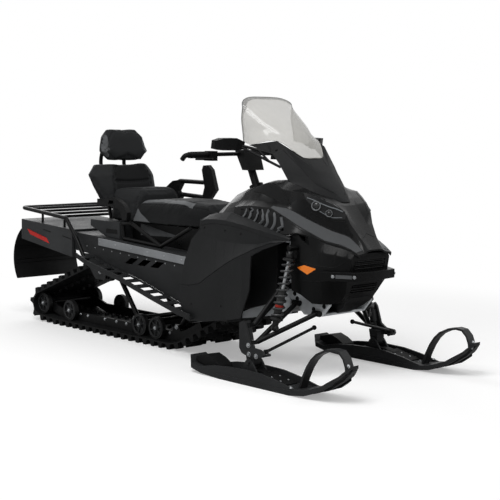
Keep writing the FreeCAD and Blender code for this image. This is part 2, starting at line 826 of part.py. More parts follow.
head_low_z = 1078.0
head_top_z = 1276.0
head_half_width = 181.0
head_thickness = 88.0
head_x = -712.0
head_lean = 44.0
# shares of the height, the half width and the thickness
head_levels = ((0.0, 0.70, 0.75), (0.28, 1.0, 1.0), (0.75, 0.86, 1.0), (1.0, 0.62, 0.7))
head_front_share = 0.8
head_side_share = 0.3
head_rear_share = 0.86


def make_headrest():
    sections = []
    for share, half_share, depth_share in head_levels:
        z = head_low_z + share * (head_top_z - head_low_z)
        half = head_half_width * half_share
        front = head_x - share * head_lean - head_thickness * (1 - depth_share) / 2
        rear = front - head_thickness * depth_share
        right = [(front, -half * head_front_share), (front - head_thickness * head_side_share, -half),
                 (rear, -half * head_rear_share)]
        left = [(x, -y) for x, y in reversed(right)]
        sections.append([V(x, y, z) for x, y in right + left])
    return loft(sections)


headrest = make_headrest()
save("headrest", headrest)

# Frame behind the backrest: uprights from the base plate up to the headrest
upright_y = 92.0
upright_radius = 12.0
upright_bar_radius = 9.6
upright_foot_x = -770.0
upright_knee_rise = 6.0
upright_top_share = 0.45           # of the headrest's height
upright_sweep_share = 0.62         # of the wings' sweep
upright_bar_shares = (0.3, 0.75)
back_frame_plate_width = 230.0
back_frame_plate_shares = (0.35, 0.7)


def make_backrest_frame():
    top = V(head_x - head_lean - head_thickness - upright_radius - seat_gap, -upright_y,
            head_low_z + (head_top_z - head_low_z) * upright_top_share)
    foot = V(upright_foot_x, -upright_y, seat_floor_z)
    knee_x = back_low_x - back_lean - back_thickness - back_wing_sweep * upright_sweep_share - upright_radius
    knee = V(knee_x, -upright_y, back_top_z + upright_knee_rise)
    run = tube([foot, knee, top], upright_radius, back_thickness)
    down = foot - knee
    bars = []
    for share in upright_bar_shares:
        place = knee + down * share
        bars.append(cross_rod(place.x, -upright_y, upright_y, place.z, upright_bar_radius))
    high, low = [knee + down * share for share in back_frame_plate_shares]
    plate = prism_xz([(high.x + upright_radius, high.z), (high.x - upright_radius / 2, high.z),
                      (low.x - upright_radius / 2, low.z), (low.x + upright_radius, low.z)],
                     -back_frame_plate_width / 2, back_frame_plate_width / 2)
    frame = fuse(run, mirrored(run), plate, *bars)
    return frame.cut([backrest, headrest, passenger_base])


save("backrest_frame", make_backrest_frame())

# Grab handles: a loop with a tall hand guard on the left, and a folded-down grip on the right
grab_y = 282.0
grab_radius = 14.0
grab_bend = 40.0
grab_upper_line = ((-600, 838), (-560, 952), (-300, 952))
grab_lower_line = ((-545, 868), (-262, 858))
paddle_outline = [(-262, 830), (-186, 912), (-228, 1034), (-262, 1062), (-306, 1058), (-318, 1030),
                  (-292, 925), (-318, 845)]
paddle_half_width = 14.0
lobe_outline = [(-690, 812), (-674, 902), (-600, 950), (-530, 960), (-516, 935), (-548, 890), (-520, 850),
                (-560, 812)]
lobe_half_width = 16.0
grab_foot_outline = [(-690, 812), (-560, 812), (-560, 850), (-690, 850)]
grab_foot_y = 200.9


folded_grip_y = 262.0
folded_grip_outline = [(-641, 812), (-641, 826), (-600, 858), (-514, 868), (-465, 857), (-407, 829), (-369, 783),
                       (-376, 738), (-416, 732), (-440, 790), (-500, 812)]
folded_slot_outline = [(-560, 826), (-548, 848), (-508, 848), (-500, 832), (-520, 826)]


def grab_foot(outer_y):
    """Flat bracket from the passenger seat's side out to a handle."""
    return prism_xz(grab_foot_outline, grab_foot_y, outer_y)


def make_grab_handle():
    """Left-hand grab loop: upper bar, lower bar and the tall paddle that shields the hand."""
    y = grab_y
    upper = tube([V(x, y, z) for x, z in grab_upper_line], grab_radius, grab_bend)
    lower = rod(*[V(x, y, z) for x, z in grab_lower_line], grab_radius)
    paddle = prism_xz(paddle_outline, y - paddle_half_width, y + paddle_half_width)
    lobe = prism_xz(lobe_outline, y - lobe_half_width, y + lobe_half_width)
    return fuse(upper, lower, paddle, lobe, grab_foot(y))


def make_folded_grip():
    """Right-hand grip, folded down beside the seat, with a hand slot."""
    low, high = folded_grip_y - lobe_half_width, folded_grip_y + lobe_half_width
    grip = prism_xz(folded_grip_outline, low, high).cut(prism_xz(folded_slot_outline, low - 1, high + 1))
    return mirrored(fuse(grip, grab_foot(folded_grip_y)))


grab_handles = [shape.cut([passenger_seat, backrest]) for shape in (make_grab_handle(), make_folded_grip())]
save("grab_handles", *grab_handles)


# Front body. Lines of points run from rear to front along the right side; the left side is their mirror image.

wall = 8.0                # moulded panels
wall_in = 5.0             # how far the inside of a hood section sits towards the middle
groove_width = 4.0
groove_depth = 4.0
far_y = 520.0             # beyond the widest front panel
body_top_z = 1100.0


def at(line, x):
    """Point of a line at a given x, straight between its points."""
    for a, b in zip(line, line[1:]):
        if x <= b[0]:
            break
    share = (x - a[0]) / (b[0] - a[0])
    return V(x, a[1] + (b[1] - a[1]) * share, a[2] + (b[2] - a[2]) * share)


def ruled(sections):
    """Solid through many closed sections, straight between each pair."""
    pieces = [loft(sections[i:i + 2]) for i in range(len(sections) - 1)]
    return fuse(pieces[0], *pieces[1:])


def largest(shape):
    """The one solid of a cut that counts; slivers are dropped."""
    return max(shape.Solids, key=lambda solid: solid.Volume)


def strip(points, width):
    """Narrow outline that follows a line of (x, z) points."""
    low, high = [], []
    for i, (x, z) in enumerate(points):
        before = points[max(i - 1, 0)]
        after = points[min(i + 1, len(points) - 1)]
        run = math.hypot(after[0] - before[0], after[1] - before[1])
        side_x = -(after[1] - before[1]) / run * width / 2
        side_z = (after[0] - before[0]) / run * width / 2
        low.append((x - side_x, z - side_z))
        high.append((x + side_x, z + side_z))
    return low + list(reversed(high))


# Side panels: a sloped shoulder, a lip, a hollow waist and a fuller lower half with a parting groove

panel_x = (262, 333, 432, 475, 524, 560, 629, 702, 775, 860, 942, 1034)
panel_top = ((262, -388, 792), (432, -388, 802), (475, -363, 829), (524, -356, 842), (629, -349, 852),
             (702, -345, 834), (775, -341, 821), (860, -336, 794), (942, -321, 766), (1034, -304, 739))
panel_lip = ((262, -391, 780), (432, -391, 794), (472, -390, 806), (590, -387, 812), (744, -384, 796),
             (878, -368, 771), (961, -340, 753), (1034, -306, 733))
panel_waist = ((262, -398, 748), (406, -391, 748), (437, -390, 714), (549, -388, 699), (742, -384, 692),
               (860, -372, 698), (942, -350, 722), (1034, -306, 727))
panel_parting = ((262, -402, 430), (352, -402, 430), (405, -404, 433), (544, -409, 516), (651, -410, 579),
                 (737, -409, 623), (802, -405, 648), (860, -393, 677), (942, -361, 710), (1034, -308, 721))
panel_bottom = ((262, -390, 249), (333, -390, 228), (482, -388, 245), (667, -387, 276), (763, -400, 300),
                (860, -395, 320), (942, -375, 330), (1034, -340, 340))
panel_outline = [(265, 346), (276, 432), (305, 563), (359, 689), (421, 747), (432, 900), (1060, 900),
                 (1030, 731), (1004, 718), (946, 691), (903, 674), (835, 635), (826, 455), (763, 301),
                 (745, 200),
                 (290, 200), (280, 252)]
panel_in_y = 250.0
panel_groove_y = -399.0
panel_lower_groove = [(274, 364), (351, 360), (437, 308), (505, 250)]


def make_side_panel():
    sections = []
    for x in panel_x:
        top, lip, waist, parting, bottom = [at(line, x) for line in
                                            (panel_top, panel_lip, panel_waist, panel_parting, panel_bottom)]
        up = V(0, 0, groove_width / 2)
        inward = V(0, groove_depth, 0)
        groove = [parting + up, parting + up + inward, parting - up + inward, parting - up]
        outer = [top, lip, waist] + groove + [bottom]
        inner = [point + V(0, wall, 0) for point in (bottom, parting, waist, lip, top)]
        sections.append(outer + inner)
    shell = ruled(sections).common(prism_xz(panel_outline, -far_y, -panel_in_y))
    lower_groove = prism_xz(strip(panel_lower_groove, groove_width), -far_y, panel_groove_y)
    return largest(shell.cut([lower_groove, board]))


side_panel = make_side_panel()
save("side_panel_right", side_panel)
save("side_panel_left", mirrored(side_panel))


# Hood: middle, seam, brow, foot of the lamp, top and low edge of the stripe, low edge of the flank

hood_stations = (
    (642, ((0, 990), (-150, 985), (-240, 972), (-264, 946), (-291, 914), (-335, 880), (-345, 846))),
    (700, ((0, 1001), (-160, 1001), (-246, 984), (-262, 955), (-286, 917), (-331, 888), (-341, 829))),
    (760, ((0, 1010), (-170, 1020), (-246, 1003), (-250, 958), (-278, 918), (-325, 893), (-337, 818))),
    (810, ((0, 1016), (-176, 1027), (-238, 1014), (-244, 938), (-270, 915), (-317, 891), (-332, 800))),
    (881, ((0, 1020), (-182, 1031), (-221, 984), (-226, 918), (-256, 909), (-304, 887), (-324, 778))),
    (930, ((0, 1003), (-170, 1011), (-207, 974), (-211, 906), (-239, 892), (-291, 861), (-313, 762))),
    (985, ((0, 980), (-152, 989), (-206, 974), (-209, 932), (-215, 867), (-273, 830), (-296, 756))),
    (1040, ((0, 955), (-133, 966), (-196, 968), (-197, 932), (-192, 838), (-252, 796), (-270, 766))),
    (1107, ((0, 936), (-90, 938), (-161, 943), (-161, 868), (-158, 806), (-222, 760), (-221, 748))),
    (1166, ((0, 903), (-46, 905), (-129, 917), (-130, 838), (-127, 779), (-193, 727), (-192, 715))),
    (1222, ((0, 838), (-46, 841), (-99, 878), (-100, 839), (-97, 761), (-169, 715), (-168, 702))),
    (1250, ((0, 806), (-42, 808), (-84, 814), (-88, 780), (-86, 750), (-157, 709), (-156, 696))),
    (1300, ((0, 748), (-34, 749), (-62, 745), (-72, 734), (-80, 712), (-140, 692), (-139, 680))),
    (1347, ((0, 690), (-30, 690), (-52, 688), (-66, 683), (-80, 675), (-128, 668), (-127, 656))),
)
stripe_low = [(x, *half[-2]) for x, half in hood_stations]
flank_low = [(x, *half[-1]) for x, half in hood_stations]


def half_row(x, half):
    """Points over one station, from the right side across the middle to the left."""
    return [V(x, y, z) for y, z in reversed(half)] + [V(x, -y, z) for y, z in half[1:]]


def make_hood():
    sections = []
    for x, half in hood_stations:
        inside = [(min(y + wall_in, 0), z - wall) for y, z in half]
        sections.append(half_row(x, half) + list(reversed(half_row(x, inside))))
    return ruled(sections)


hood_shell = largest(make_hood().cut(both(side_panel)))

# Headlamps: clear windows in the walls under the brows
lamp_outline = [(1019, 976), (1039, 935), (1072, 899), (1110, 868), (1166, 838), (1222, 841), (1227, 875),
                (1190, 906), (1133, 931), (1086, 956)]
lamp_wall = ((1010, -208), (1040, -199), (1107, -164), (1166, -133), (1230, -98))
lamp_depth = 14.0
lamp_plan = list(lamp_wall) + [(x, y + lamp_depth) for x, y in reversed(lamp_wall)]
lamp_cut = prism_xz(lamp_outline, -far_y, 0).common(prism_xy(lamp_plan, 0, body_top_z))
headlamps = [hood_shell.common(cut) for cut in both(lamp_cut)]
hood = largest(hood_shell.cut(both(lamp_cut)))

# Louvres: leaning slots through the hood's flanks
louvre_count = 5
louvre_x = 716.0
louvre_step = 58.0
louvre_width = 26.0
louvre_lean = 30.0
louvre_margin = 13.0
louvre_depth = 45.0


def make_louvre(x):
    """One slot between the stripe and the low edge of the flank."""
    high = at(stripe_low, x - louvre_lean)
    low = at(flank_low, x)
    outline = [(high.x, high.z - louvre_margin), (low.x, low.z + louvre_margin)]
    outline += [(low.x + louvre_width, low.z + louvre_margin), (high.x + louvre_width, high.z - louvre_margin)]
    return prism_xz(outline, -far_y, low.y + louvre_depth)


for i in range(louvre_count):
    hood = hood.cut(both(make_louvre(louvre_x + i * louvre_step)))
save("hood", hood)
save("headlamps", *headlamps)


# Console: the raised middle between seat and steering, standing on the tunnel

console_foot_z = 705.0
console_stations = (
    (238, ((0, 800), (-60, 796), (-90, 780), (-106, 760), (-114, 735), (-118, console_foot_z))),
    (330, ((0, 872), (-90, 866), (-130, 840), (-160, 800), (-180, 750), (-190, console_foot_z))),
    (440, ((0, 915), (-125, 903), (-205, 875), (-262, 838), (-318, 780), (-335, console_foot_z))),
    (492, ((0, 940), (-140, 928), (-228, 896), (-288, 854), (-342, 812), (-344, console_foot_z))),
    (560, ((0, 965), (-150, 957), (-240, 938), (-299, 894), (-346, 846), (-346, console_foot_z))),
    (641, ((0, 989), (-150, 984), (-240, 970), (-292, 914), (-342, 850), (-342, console_foot_z))),
)
console_foot_half_width = 118.0
console_foot_front_x = 524.0


def make_console():
    shell = ruled([half_row(x, half) for x, half in console_stations])
    rear_x = console_stations[0][0]
    foot = prism_xz([(rear_x, tunnel_top_z(rear_x)), (console_foot_front_x, tunnel_top_z(console_foot_front_x)),
                     (console_foot_front_x, console_foot_z), (rear_x, console_foot_z)],
                    -console_foot_half_width, console_foot_half_width)
    return fuse(shell, foot)


# Steering axis, leaning back through the console
steer_foot = V(455, 0, 980)
steer_dir = V(-0.42, 0, 0.907).normalize()
collar_radius = 40.0
collar_length = 95.0
collar = rod(steer_foot - steer_dir * collar_length, steer_foot - steer_dir * seat_gap, collar_radius)
console = fuse(make_console(), collar).cut([hood, side_panel, mirrored(side_panel)])
console = largest(console)
save("console", console)


# Handlebar with its post, pad, grips, levers and switch blocks

bar_radius = 11.0
grip_radius = 17.0
bar_rise = 190.0          # along the steering axis
bar_centre = steer_foot + steer_dir * bar_rise
bar_straight_y = 120.0
grip_inner_y = 275.0
bar_end_y = 405.0
bar_sweep = 34.0
bar_end_drop = 4.0
bar_bend = 60.0
post_radius = 22.0
bar_pad_half_width = 62.0
pad_outline_low = ((30, -90), (78, -90))       # from the middle of the bar
pad_outline_high = ((-34, 22), (40, 22))
hook_radius = 13.6
hook_run = 22.0
hook_end = V(-24, 0, -24)
hook_bend = 17.0
block_outline = ((-30, -34), (34, -34), (34, 20), (-24, 20))     # from the inner end of the grip
block_y = (-6.0, 38.0)
lever_radius = 6.0
lever_bend = 14.0
lever_root = V(20, 16, -18)
lever_knee = V(52, -20, -24)
lever_tip = V(52, 8, -20)


def make_handlebar():
    post = rod(steer_foot, bar_centre, post_radius)
    rows = []
    for low, high in (pad_outline_low, pad_outline_high):
        rows.append([bar_centre + V(x, y, z) for (x, z), y in ((low, -bar_pad_half_width), (high, -bar_pad_half_width),
                                                              (high, bar_pad_half_width), (low, bar_pad_half_width))])
    pad = loft(rows)
    end = V(bar_centre.x - bar_sweep, -bar_end_y, bar_centre.z - bar_end_drop)
    inner = V(bar_centre.x, -bar_straight_y, bar_centre.z)
    bar = tube([bar_centre, inner, end], bar_radius, bar_bend)
    along = (end - inner).normalize()
    grip_start = inner + along * (grip_inner_y - bar_straight_y)
    grip = rod(grip_start, end, grip_radius)
    bend_at = end + along * hook_run
    hook = tube([end, bend_at, bend_at + hook_end], hook_radius, hook_bend)
    block = prism_xz([(grip_start.x + x, grip_start.z + z) for x, z in block_outline],
                     grip_start.y + block_y[0], grip_start.y + block_y[1])
    lever = tube([grip_start + lever_root, grip_start + lever_knee, end + lever_tip], lever_radius, lever_bend)
    side = fuse(bar, grip, hook, block, lever)
    return fuse(post, pad, side, mirrored(side))


save("handlebar", make_handlebar())


# Cowl and windshield: folded walls through rows of points, each from the rear edge to the middle

screen_thickness = 5.0
brow_row = [(623, -220, 1209), (778, -157, 1233), (899, -76, 1146)]
cowl_rows = [
    brow_row,
    [(794, -207, 1165), (833, -156, 1201), (952, -67, 1100)],
    [(837, -198, 1113), (910, -137, 1117), (984, -61, 1066)],
    [(868, -191, 1066), (968, -122, 1055), (1015, -57, 1032)],
    [(887, -184, 1033), (1008, -113, 1014), (1083, -46, 976)],
    [(900, -181, 1006), (1021, -140, 962), (1143, -27, 920)],
]
screen_rows = [
    [(558, -196, 1227)] + brow_row,
    [(549, -195, 1284), (590, -196, 1285), (708, -147, 1276), (795, -86, 1232)],
    [(535, -192, 1350), (560, -191, 1355), (636, -151, 1324), (672, -98, 1335)],
    [(541, -192, 1422), (537, -190, 1430), (530, -184, 1438), (508, -114, 1472)],
]


def skin(corners):
    """Flat triangles over a four-cornered patch."""
    a, b, c, d = corners
    return [Part.Face(polygon([a, b, c])), Part.Face(polygon([a, c, d]))]


def folded_wall(half_rows, thickness):
    """Wall through rows of points with their mirror image, its thickness set backwards and inwards."""
    rows = [half + [(x, -y, z) for x, y, z in reversed(half)] for half in half_rows]
    widest = max(-y for half in half_rows for x, y, z in half)
    outer = [[V(*point) for point in row] for row in rows]
    inner = [[V(x - thickness, y * (1 - thickness / widest), z) for x, y, z in row] for row in rows]
    faces = []
    for grid in (outer, inner):
        for low, high in zip(grid, grid[1:]):
            for i in range(len(low) - 1):
                if i < len(low) // 2:
                    faces += skin([low[i], low[i + 1], high[i + 1], high[i]])
                else:
                    faces += skin([low[i + 1], low[i], high[i], high[i + 1]])
    for k in (0, -1):
        for i in range(len(outer[k]) - 1):
            faces += skin([outer[k][i], outer[k][i + 1], inner[k][i + 1], inner[k][i]])
        for i in range(len(outer) - 1):
            faces += skin([outer[i][k], outer[i + 1][k], inner[i + 1][k], inner[i][k]])
    shell = Part.Shell(faces)
    shell.sewShape()
    solid = Part.Solid(shell)
    if solid.Volume < 0:
        solid.reverse()
    return solid


cowl = largest(folded_wall(cowl_rows, wall).cut(hood_shell))
save("windshield_cowl", cowl)
windshield = largest(folded_wall(screen_rows, screen_thickness).cut(cowl))
save("windshield", windshield)


# Mirrors: shells on open triangular brackets that reach out from the cowl

mirror_sections = (
    ((596, -272, 1190), (640, -272, 1186), (650, -272, 1226), (606, -272, 1232)),
    ((572, -324, 1182), (632, -324, 1180), (642, -324, 1246), (584, -324, 1247)),
    ((548, -384, 1182), (598, -384, 1180), (606, -384, 1244), (560, -384, 1246)),
    ((538, -418, 1190), (566, -418, 1188), (572, -418, 1230), (546, -418, 1234)),
)
mirror_legs = (
    (V(632, -282, 1206), V(782, -196, 1166), 8.0),
    (V(636, -282, 1196), V(842, -192, 1096), 7.0),
    (V(716, -236, 1184), V(790, -222, 1122), 6.0),
)


def make_mirror():
    head = ruled([[V(*point) for point in section] for section in mirror_sections])
    legs = [rod(start, end, radius) for start, end, radius in mirror_legs]
    return largest(fuse(head, *legs).cut([cowl, windshield]))


save("mirrors", *both(make_mirror()))


# Front frame: cast side plates with beams back to the tunnel

frame_outline = [(868, 420), (940, 384), (1005, 326), (1136, 330), (1192, 398), (1096, 400), (1092, 424),
                 (998, 644), (985, 700), (892, 700)]
frame_window = [(915, 470), (1010, 440), (985, 540), (925, 640)]
frame_floor = [(940, 384), (1005, 326), (1136, 330), (1136, 342), (1010, 340), (948, 396)]
frame_bulkhead = [(868, 420), (880, 420), (904, 700), (892, 700)]
frame_roof = [(892, 700), (1050, 700), (1050, 712), (892, 712)]
frame_beam = [(530, 246), (900, 316), (900, 405), (868, 420), (530, 282)]
frame_plate_y = 152.0
frame_plate_thickness = 14.0
frame_roof_half_width = 200.0
top_beam_x = 1035.0
top_beam_z = 690.0
top_beam_half_width = 318.0
top_beam_radius = 14.0


def make_front_frame():
    outer_y = -frame_plate_y - frame_plate_thickness
    plate = prism_xz(frame_outline, outer_y, -frame_plate_y).cut(prism_xz(frame_window, -far_y, 0))
    beam = prism_xz(frame_beam, outer_y, -frame_plate_y)
    floor = prism_xz(frame_floor, -frame_plate_y, frame_plate_y)
    bulkhead = prism_xz(frame_bulkhead, -frame_plate_y, frame_plate_y)
    roof = prism_xz(frame_roof, -frame_roof_half_width, frame_roof_half_width)
    top_beam = cross_rod(top_beam_x, -top_beam_half_width, top_beam_half_width, top_beam_z, top_beam_radius)
    return fuse(plate, mirrored(plate), floor, bulkhead, roof, top_beam, *both(beam))


front_frame = make_front_frame()

# Shocks stand outside the nose, between the lower arms and the top beam
shock_low = V(985, -368, 254)
shock_high = V(1035, -300, 679)
spring_radius = 34.0
shock_clearance = 44.0


# Nose: hollow, open to the rear, with a sloped face that holds the grilles

nose_stations = (
    (1000, ((0, 770), (-262, 770), (-268, 730), (-268, 616), (-262, 519), (-255, 461), (0, 455))),
    (1060, ((0, 775), (-243, 775), (-252, 721), (-262, 608), (-258, 519), (-250, 445), (0, 439))),
    (1124, ((0, 740), (-215, 740), (-222, 676), (-245, 597), (-243, 527), (-228, 402), (0, 396))),
    (1170, ((0, 716), (-190, 716), (-214, 668), (-229, 588), (-228, 536), (-187, 399), (0, 393))),
    (1237, ((0, 700), (-160, 700), (-185, 661), (-190, 586), (-185, 530), (-112, 411), (0, 405))),
    (1290, ((0, 685), (-142, 685), (-158, 649), (-155, 575), (-147, 515), (-88, 440), (0, 434))),
    (1320, ((0, 668), (-130, 668), (-145, 643), (-143, 575), (-136, 515), (-80, 440), (0, 434))),
)
nose_face = [(1318, 643), (1306, 586), (1287, 515), (1262, 460), (1235, 425)]
nose_cut_x = 1400.0
nose_cut_z = (660.0, 300.0)
nose_hollow_end_x = 1290.0
nose_wall_share = 0.045
grille_half_width = 118.0
grille_depth = 16.0
grille_slots = ((622, 634), (603, 615), (584, 596))
lower_grille_half_width = 96.0
lower_grille_slots = ((486, 504), (460, 478))
duct_outline = [(1040, 756), (1062, 728), (1118, 690), (1130, 716), (1084, 748)]
duct_y = -232.0
chin_outline = [(1076, 440), (1237, 440), (1237, 411), (1208, 381), (1112, 322), (1086, 322)]
chin_half_width = 123.0
chin_low_half_width = 43.0
chin_low_z = 322.0
chin_high_z = 440.0


def nose_row(x, half, scale=1.0, sink=0.0):
    """Closed section of the nose, or of the hollow inside it."""
    middle_z = (half[0][1] + half[-1][1]) / 2
    rows = [(y * scale, z + math.copysign(sink, middle_z - z)) for y, z in half]
    right = [V(x, y, z) for y, z in rows]
    left = [V(x, -y, z) for y, z in reversed(rows[1:-1])]
    return right + left


def grille_slot(z_low, z_high, half_width):
    """Slot sunk square into the nose's face."""
    low_x = face_x(z_low)
    high_x = face_x(z_high)
    outline = [(low_x - grille_depth, z_low), (high_x - grille_depth, z_high),
               (high_x + overrun, z_high), (low_x + overrun, z_low)]
    return prism_xz(outline, -half_width, half_width)


def face_x(z):
    """How far forward the nose's face is at a height."""
    for (x_high, z_high), (x_low, z_low) in zip(nose_face, nose_face[1:]):
        if z >= z_low:
            break
    return x_low + (x_high - x_low) * (z - z_low) / (z_high - z_low)


def make_nose():
    outer = ruled([nose_row(x, half) for x, half in nose_stations])
    rear_x = nose_stations[0][0]
    hollow_stations = [(rear_x - overrun, nose_stations[0][1])]
    hollow_stations += [(x, half) for x, half in nose_stations if x < nose_hollow_end_x]
    hollow = ruled([nose_row(x, half, 1 - nose_wall_share, wall) for x, half in hollow_stations])
    ahead = [(nose_face[0][0], nose_cut_z[0])] + nose_face + [(nose_face[-1][0], nose_cut_z[1]),
                                                              (nose_cut_x, nose_cut_z[1]),
                                                              (nose_cut_x, nose_cut_z[0])]
    nose = outer.cut([hollow, prism_xz(ahead, -far_y, far_y)])
    slots = [grille_slot(low, high, grille_half_width) for low, high in grille_slots]
    slots += [grille_slot(low, high, lower_grille_half_width) for low, high in lower_grille_slots]
    ducts = both(prism_xz(duct_outline, -far_y, duct_y))
    return nose.cut(slots + ducts)


def make_chin():
    """Keel under the nose, narrower towards the ground."""
    block = prism_xz(chin_outline, -chin_half_width, chin_half_width)
    taper = prism_yz([(-chin_half_width, chin_high_z), (chin_half_width, chin_high_z),
                      (chin_low_half_width, chin_low_z), (-chin_low_half_width, chin_low_z)],
                     chin_outline[0][0], chin_outline[1][0])
    return block.common(taper)


nose = fuse(make_nose(), make_chin()).cut([hood_shell, front_frame])
shock_ways = both(rod(shock_low, shock_high, shock_clearance))
nose = largest(nose.cut(shock_ways))
reflector_outline = [(1043, 586), (1086, 602), (1154, 587), (1104, 554)]
reflector_y = -236.0
reflector_cut = prism_xz(reflector_outline, -far_y, reflector_y)
reflectors = [nose.common(cut) for cut in both(reflector_cut)]
nose = nose.cut(both(reflector_cut))
save("nose", nose)
save("side_reflectors", *reflectors)
save("front_frame", front_frame)


# Bumper: a flat band bent round the nose

bumper_low_z = 532.0
bumper_high_z = 578.0
bumper_front_line = ((1197, -254), (1276, -196), (1350, -154), (1362, -60))
bumper_back_line = ((1197, -222), (1262, -176), (1300, -120), (1300, -60))
bumper_plan = list(bumper_front_line) + [(x, -y) for x, y in reversed(bumper_front_line)]
bumper_plan += [(x, -y) for x, y in bumper_back_line] + list(reversed(bumper_back_line))
bumper = largest(prism_xy(bumper_plan, bumper_low_z, bumper_high_z).cut(nose))
save("front_bumper", bumper)


# Belly pan between the side panels, and the engine above it

pan_thickness = 6.0
pan_half_width = 378.0
pan_front_half_width = 140.0
pan_line = [(286, 250), (333, 232), (482, 249), (667, 280), (763, 304), (955, 378)]
pan_narrow_x = 800.0
pan_top_z = 600.0
pan_side_cut = [(pan_narrow_x, -overrun), (pan_line[-1][0] + overrun, -overrun),
                (pan_line[-1][0] + overrun, pan_top_z), (pan_narrow_x, pan_top_z)]
pan_tunnel_cut = [(0, -overrun), (tunnel_front_x, -overrun), (tunnel_front_x, pan_top_z), (0, pan_top_z)]
engine_outline = [(560, 300), (850, 380), (850, 692), (560, 692)]
engine_half_width = 215.0

pan_under = [(x, z - pan_thickness) for x, z in reversed(pan_line)]
pan = prism_xz(pan_line + pan_under, -pan_half_width, pan_half_width)
pan = pan.cut(prism_xz(pan_tunnel_cut, -tunnel_half_width, tunnel_half_width))
pan = pan.cut(both(prism_xz(pan_side_cut, -far_y, -pan_front_half_width)))
pan = largest(pan.cut([front_frame, board, mirrored(board)] + both(side_panel)))
save("belly_pan", pan)
engine = largest(prism_xz(engine_outline, -engine_half_width, engine_half_width).cut([front_frame, pan]))
save("engine", engine)


# Front suspension: arms and shocks, right side, then mirrored

ski_y = 482.0
king_low = V(955, -ski_y, 117)
king_dir = V(-0.2535, 0, 0.9673).normalize()


def king_point(z):
    """Point on the kingpin's axis at a height."""
    return king_low + king_dir * ((z - king_low.z) / king_dir.z)


eye_radius = 17.0
eye_height = 26.0
kingpin_radius = 7.0
arm_radius = 13.0
tongue_radius = 11.0
tongue_length = 44.0
sleeve_radius = 16.0
sleeve_half_length = 24.0
lower_eye = king_point(200)
upper_eye = king_point(288)
lower_feet = ((965, 385), (1112, 345))
upper_feet = ((905, 470), (945, 560))
pivot_y = -frame_plate_y - frame_plate_thickness - sleeve_radius


def make_arm(eye, feet):
    """A-arm from its outer eye to pivot sleeves beside the front frame."""
    ring = rod(eye - king_dir * (eye_height / 2), eye + king_dir * (eye_height / 2), eye_radius)
    knee = eye + V(0, tongue_length, 0)
    pieces = [ring, rod(eye, knee, tongue_radius)]
    for x, z in feet:
        foot = V(x, pivot_y, z)
        along = V(sleeve_half_length, 0, 0)
        pieces.append(rod(knee, foot, arm_radius))
        pieces.append(rod(foot - along, foot + along, sleeve_radius))
    arm = fuse(pieces[0], *pieces[1:])
    pin = rod(eye - king_dir * eye_height, eye + king_dir * eye_height, kingpin_radius + pin_gap)
    return arm.cut([pin, front_frame])


lower_arm = make_arm(lower_eye, lower_feet)
upper_arm = make_arm(upper_eye, upper_feet)
save("lower_arms", *both(lower_arm))
save("upper_arms", *both(upper_arm))

shock_body_radius = 20.0
shock_rod_radius = 9.0
shock_cap_radius = 37.0
shock_cap_height = 8.0
spring_root_radius = 27.0
spring_turn_count = 8
spring_start_share = 0.14
spring_end_share = 0.86
body_start_share = 0.06
body_end_share = 0.96
# height of one turn in shares of its pitch, with the radius there
turn_profile = ((0.12, spring_root_radius), (0.35, spring_radius), (0.62, spring_radius),
                (0.88, spring_root_radius))


def make_shock():
    """Damper with its coil spring drawn as stacked turns."""
    line = shock_high - shock_low
    length = line.Length
    low_z = length * spring_start_share
    high_z = length * spring_end_share
    pitch = (high_z - low_z) / spring_turn_count
    profile = [V(0, 0, low_z), V(shock_body_radius, 0, low_z)]
    for i in range(spring_turn_count):
        profile += [V(radius, 0, low_z + pitch * (i + share)) for share, radius in turn_profile]
    profile += [V(shock_body_radius, 0, high_z), V(0, 0, high_z)]
    spring = Part.Face(polygon(profile)).revolve(V(0, 0, 0), V(0, 0, 1), 360)
    body = Part.makeCylinder(shock_body_radius, length * (body_end_share - body_start_share),
                             V(0, 0, length * body_start_share))
    bar = Part.makeCylinder(shock_rod_radius, length)
    caps = [Part.makeCylinder(shock_cap_radius, shock_cap_height, V(0, 0, z))
            for z in (low_z - shock_cap_height, high_z)]
    shock = fuse(spring, body, bar, *caps)
    shock.Placement = FreeCAD.Placement(shock_low, FreeCAD.Rotation(V(0, 0, 1), line))
    return largest(shock.cut([lower_arm, front_frame]))


save("front_shocks", *both(make_shock()))


# Spindles, tie rods and skis, right side, then mirrored

knuckle_radius = 19.0
knuckle_gap = 0.5
knuckle_low_length = 30.0
knuckle_high_length = 12.0
knuckle_block_half = 12.0
web_outline = [(886, 175), (884, 305), (912, 318), (930, 300), (962, 205), (1000, 182), (1060, 178),
               (1068, 160), (1058, 146), (990, 142), (930, 142), (905, 150)]
web_outer = 38.0
web_inner = 24.0
web_overlap = 4.0
foot_radius = 24.0
foot_half_width = 29.5
neck_outline = [(936, 105), (984, 105), (986, 168), (922, 172)]
bridge_outline = [(928, 142), (986, 142), (986, 168), (922, 172)]
ski_pivot = V(960, -ski_y, 105)
ski_bolt_radius = 8.0
tie_eye = V(1052, -ski_y - 4, 172)
tie_eye_radius = 12.0
tie_eye_half_height = 12.0
tie_gap = 0.4
tie_tab_radius = 21.0
tie_tab_height = 13.6


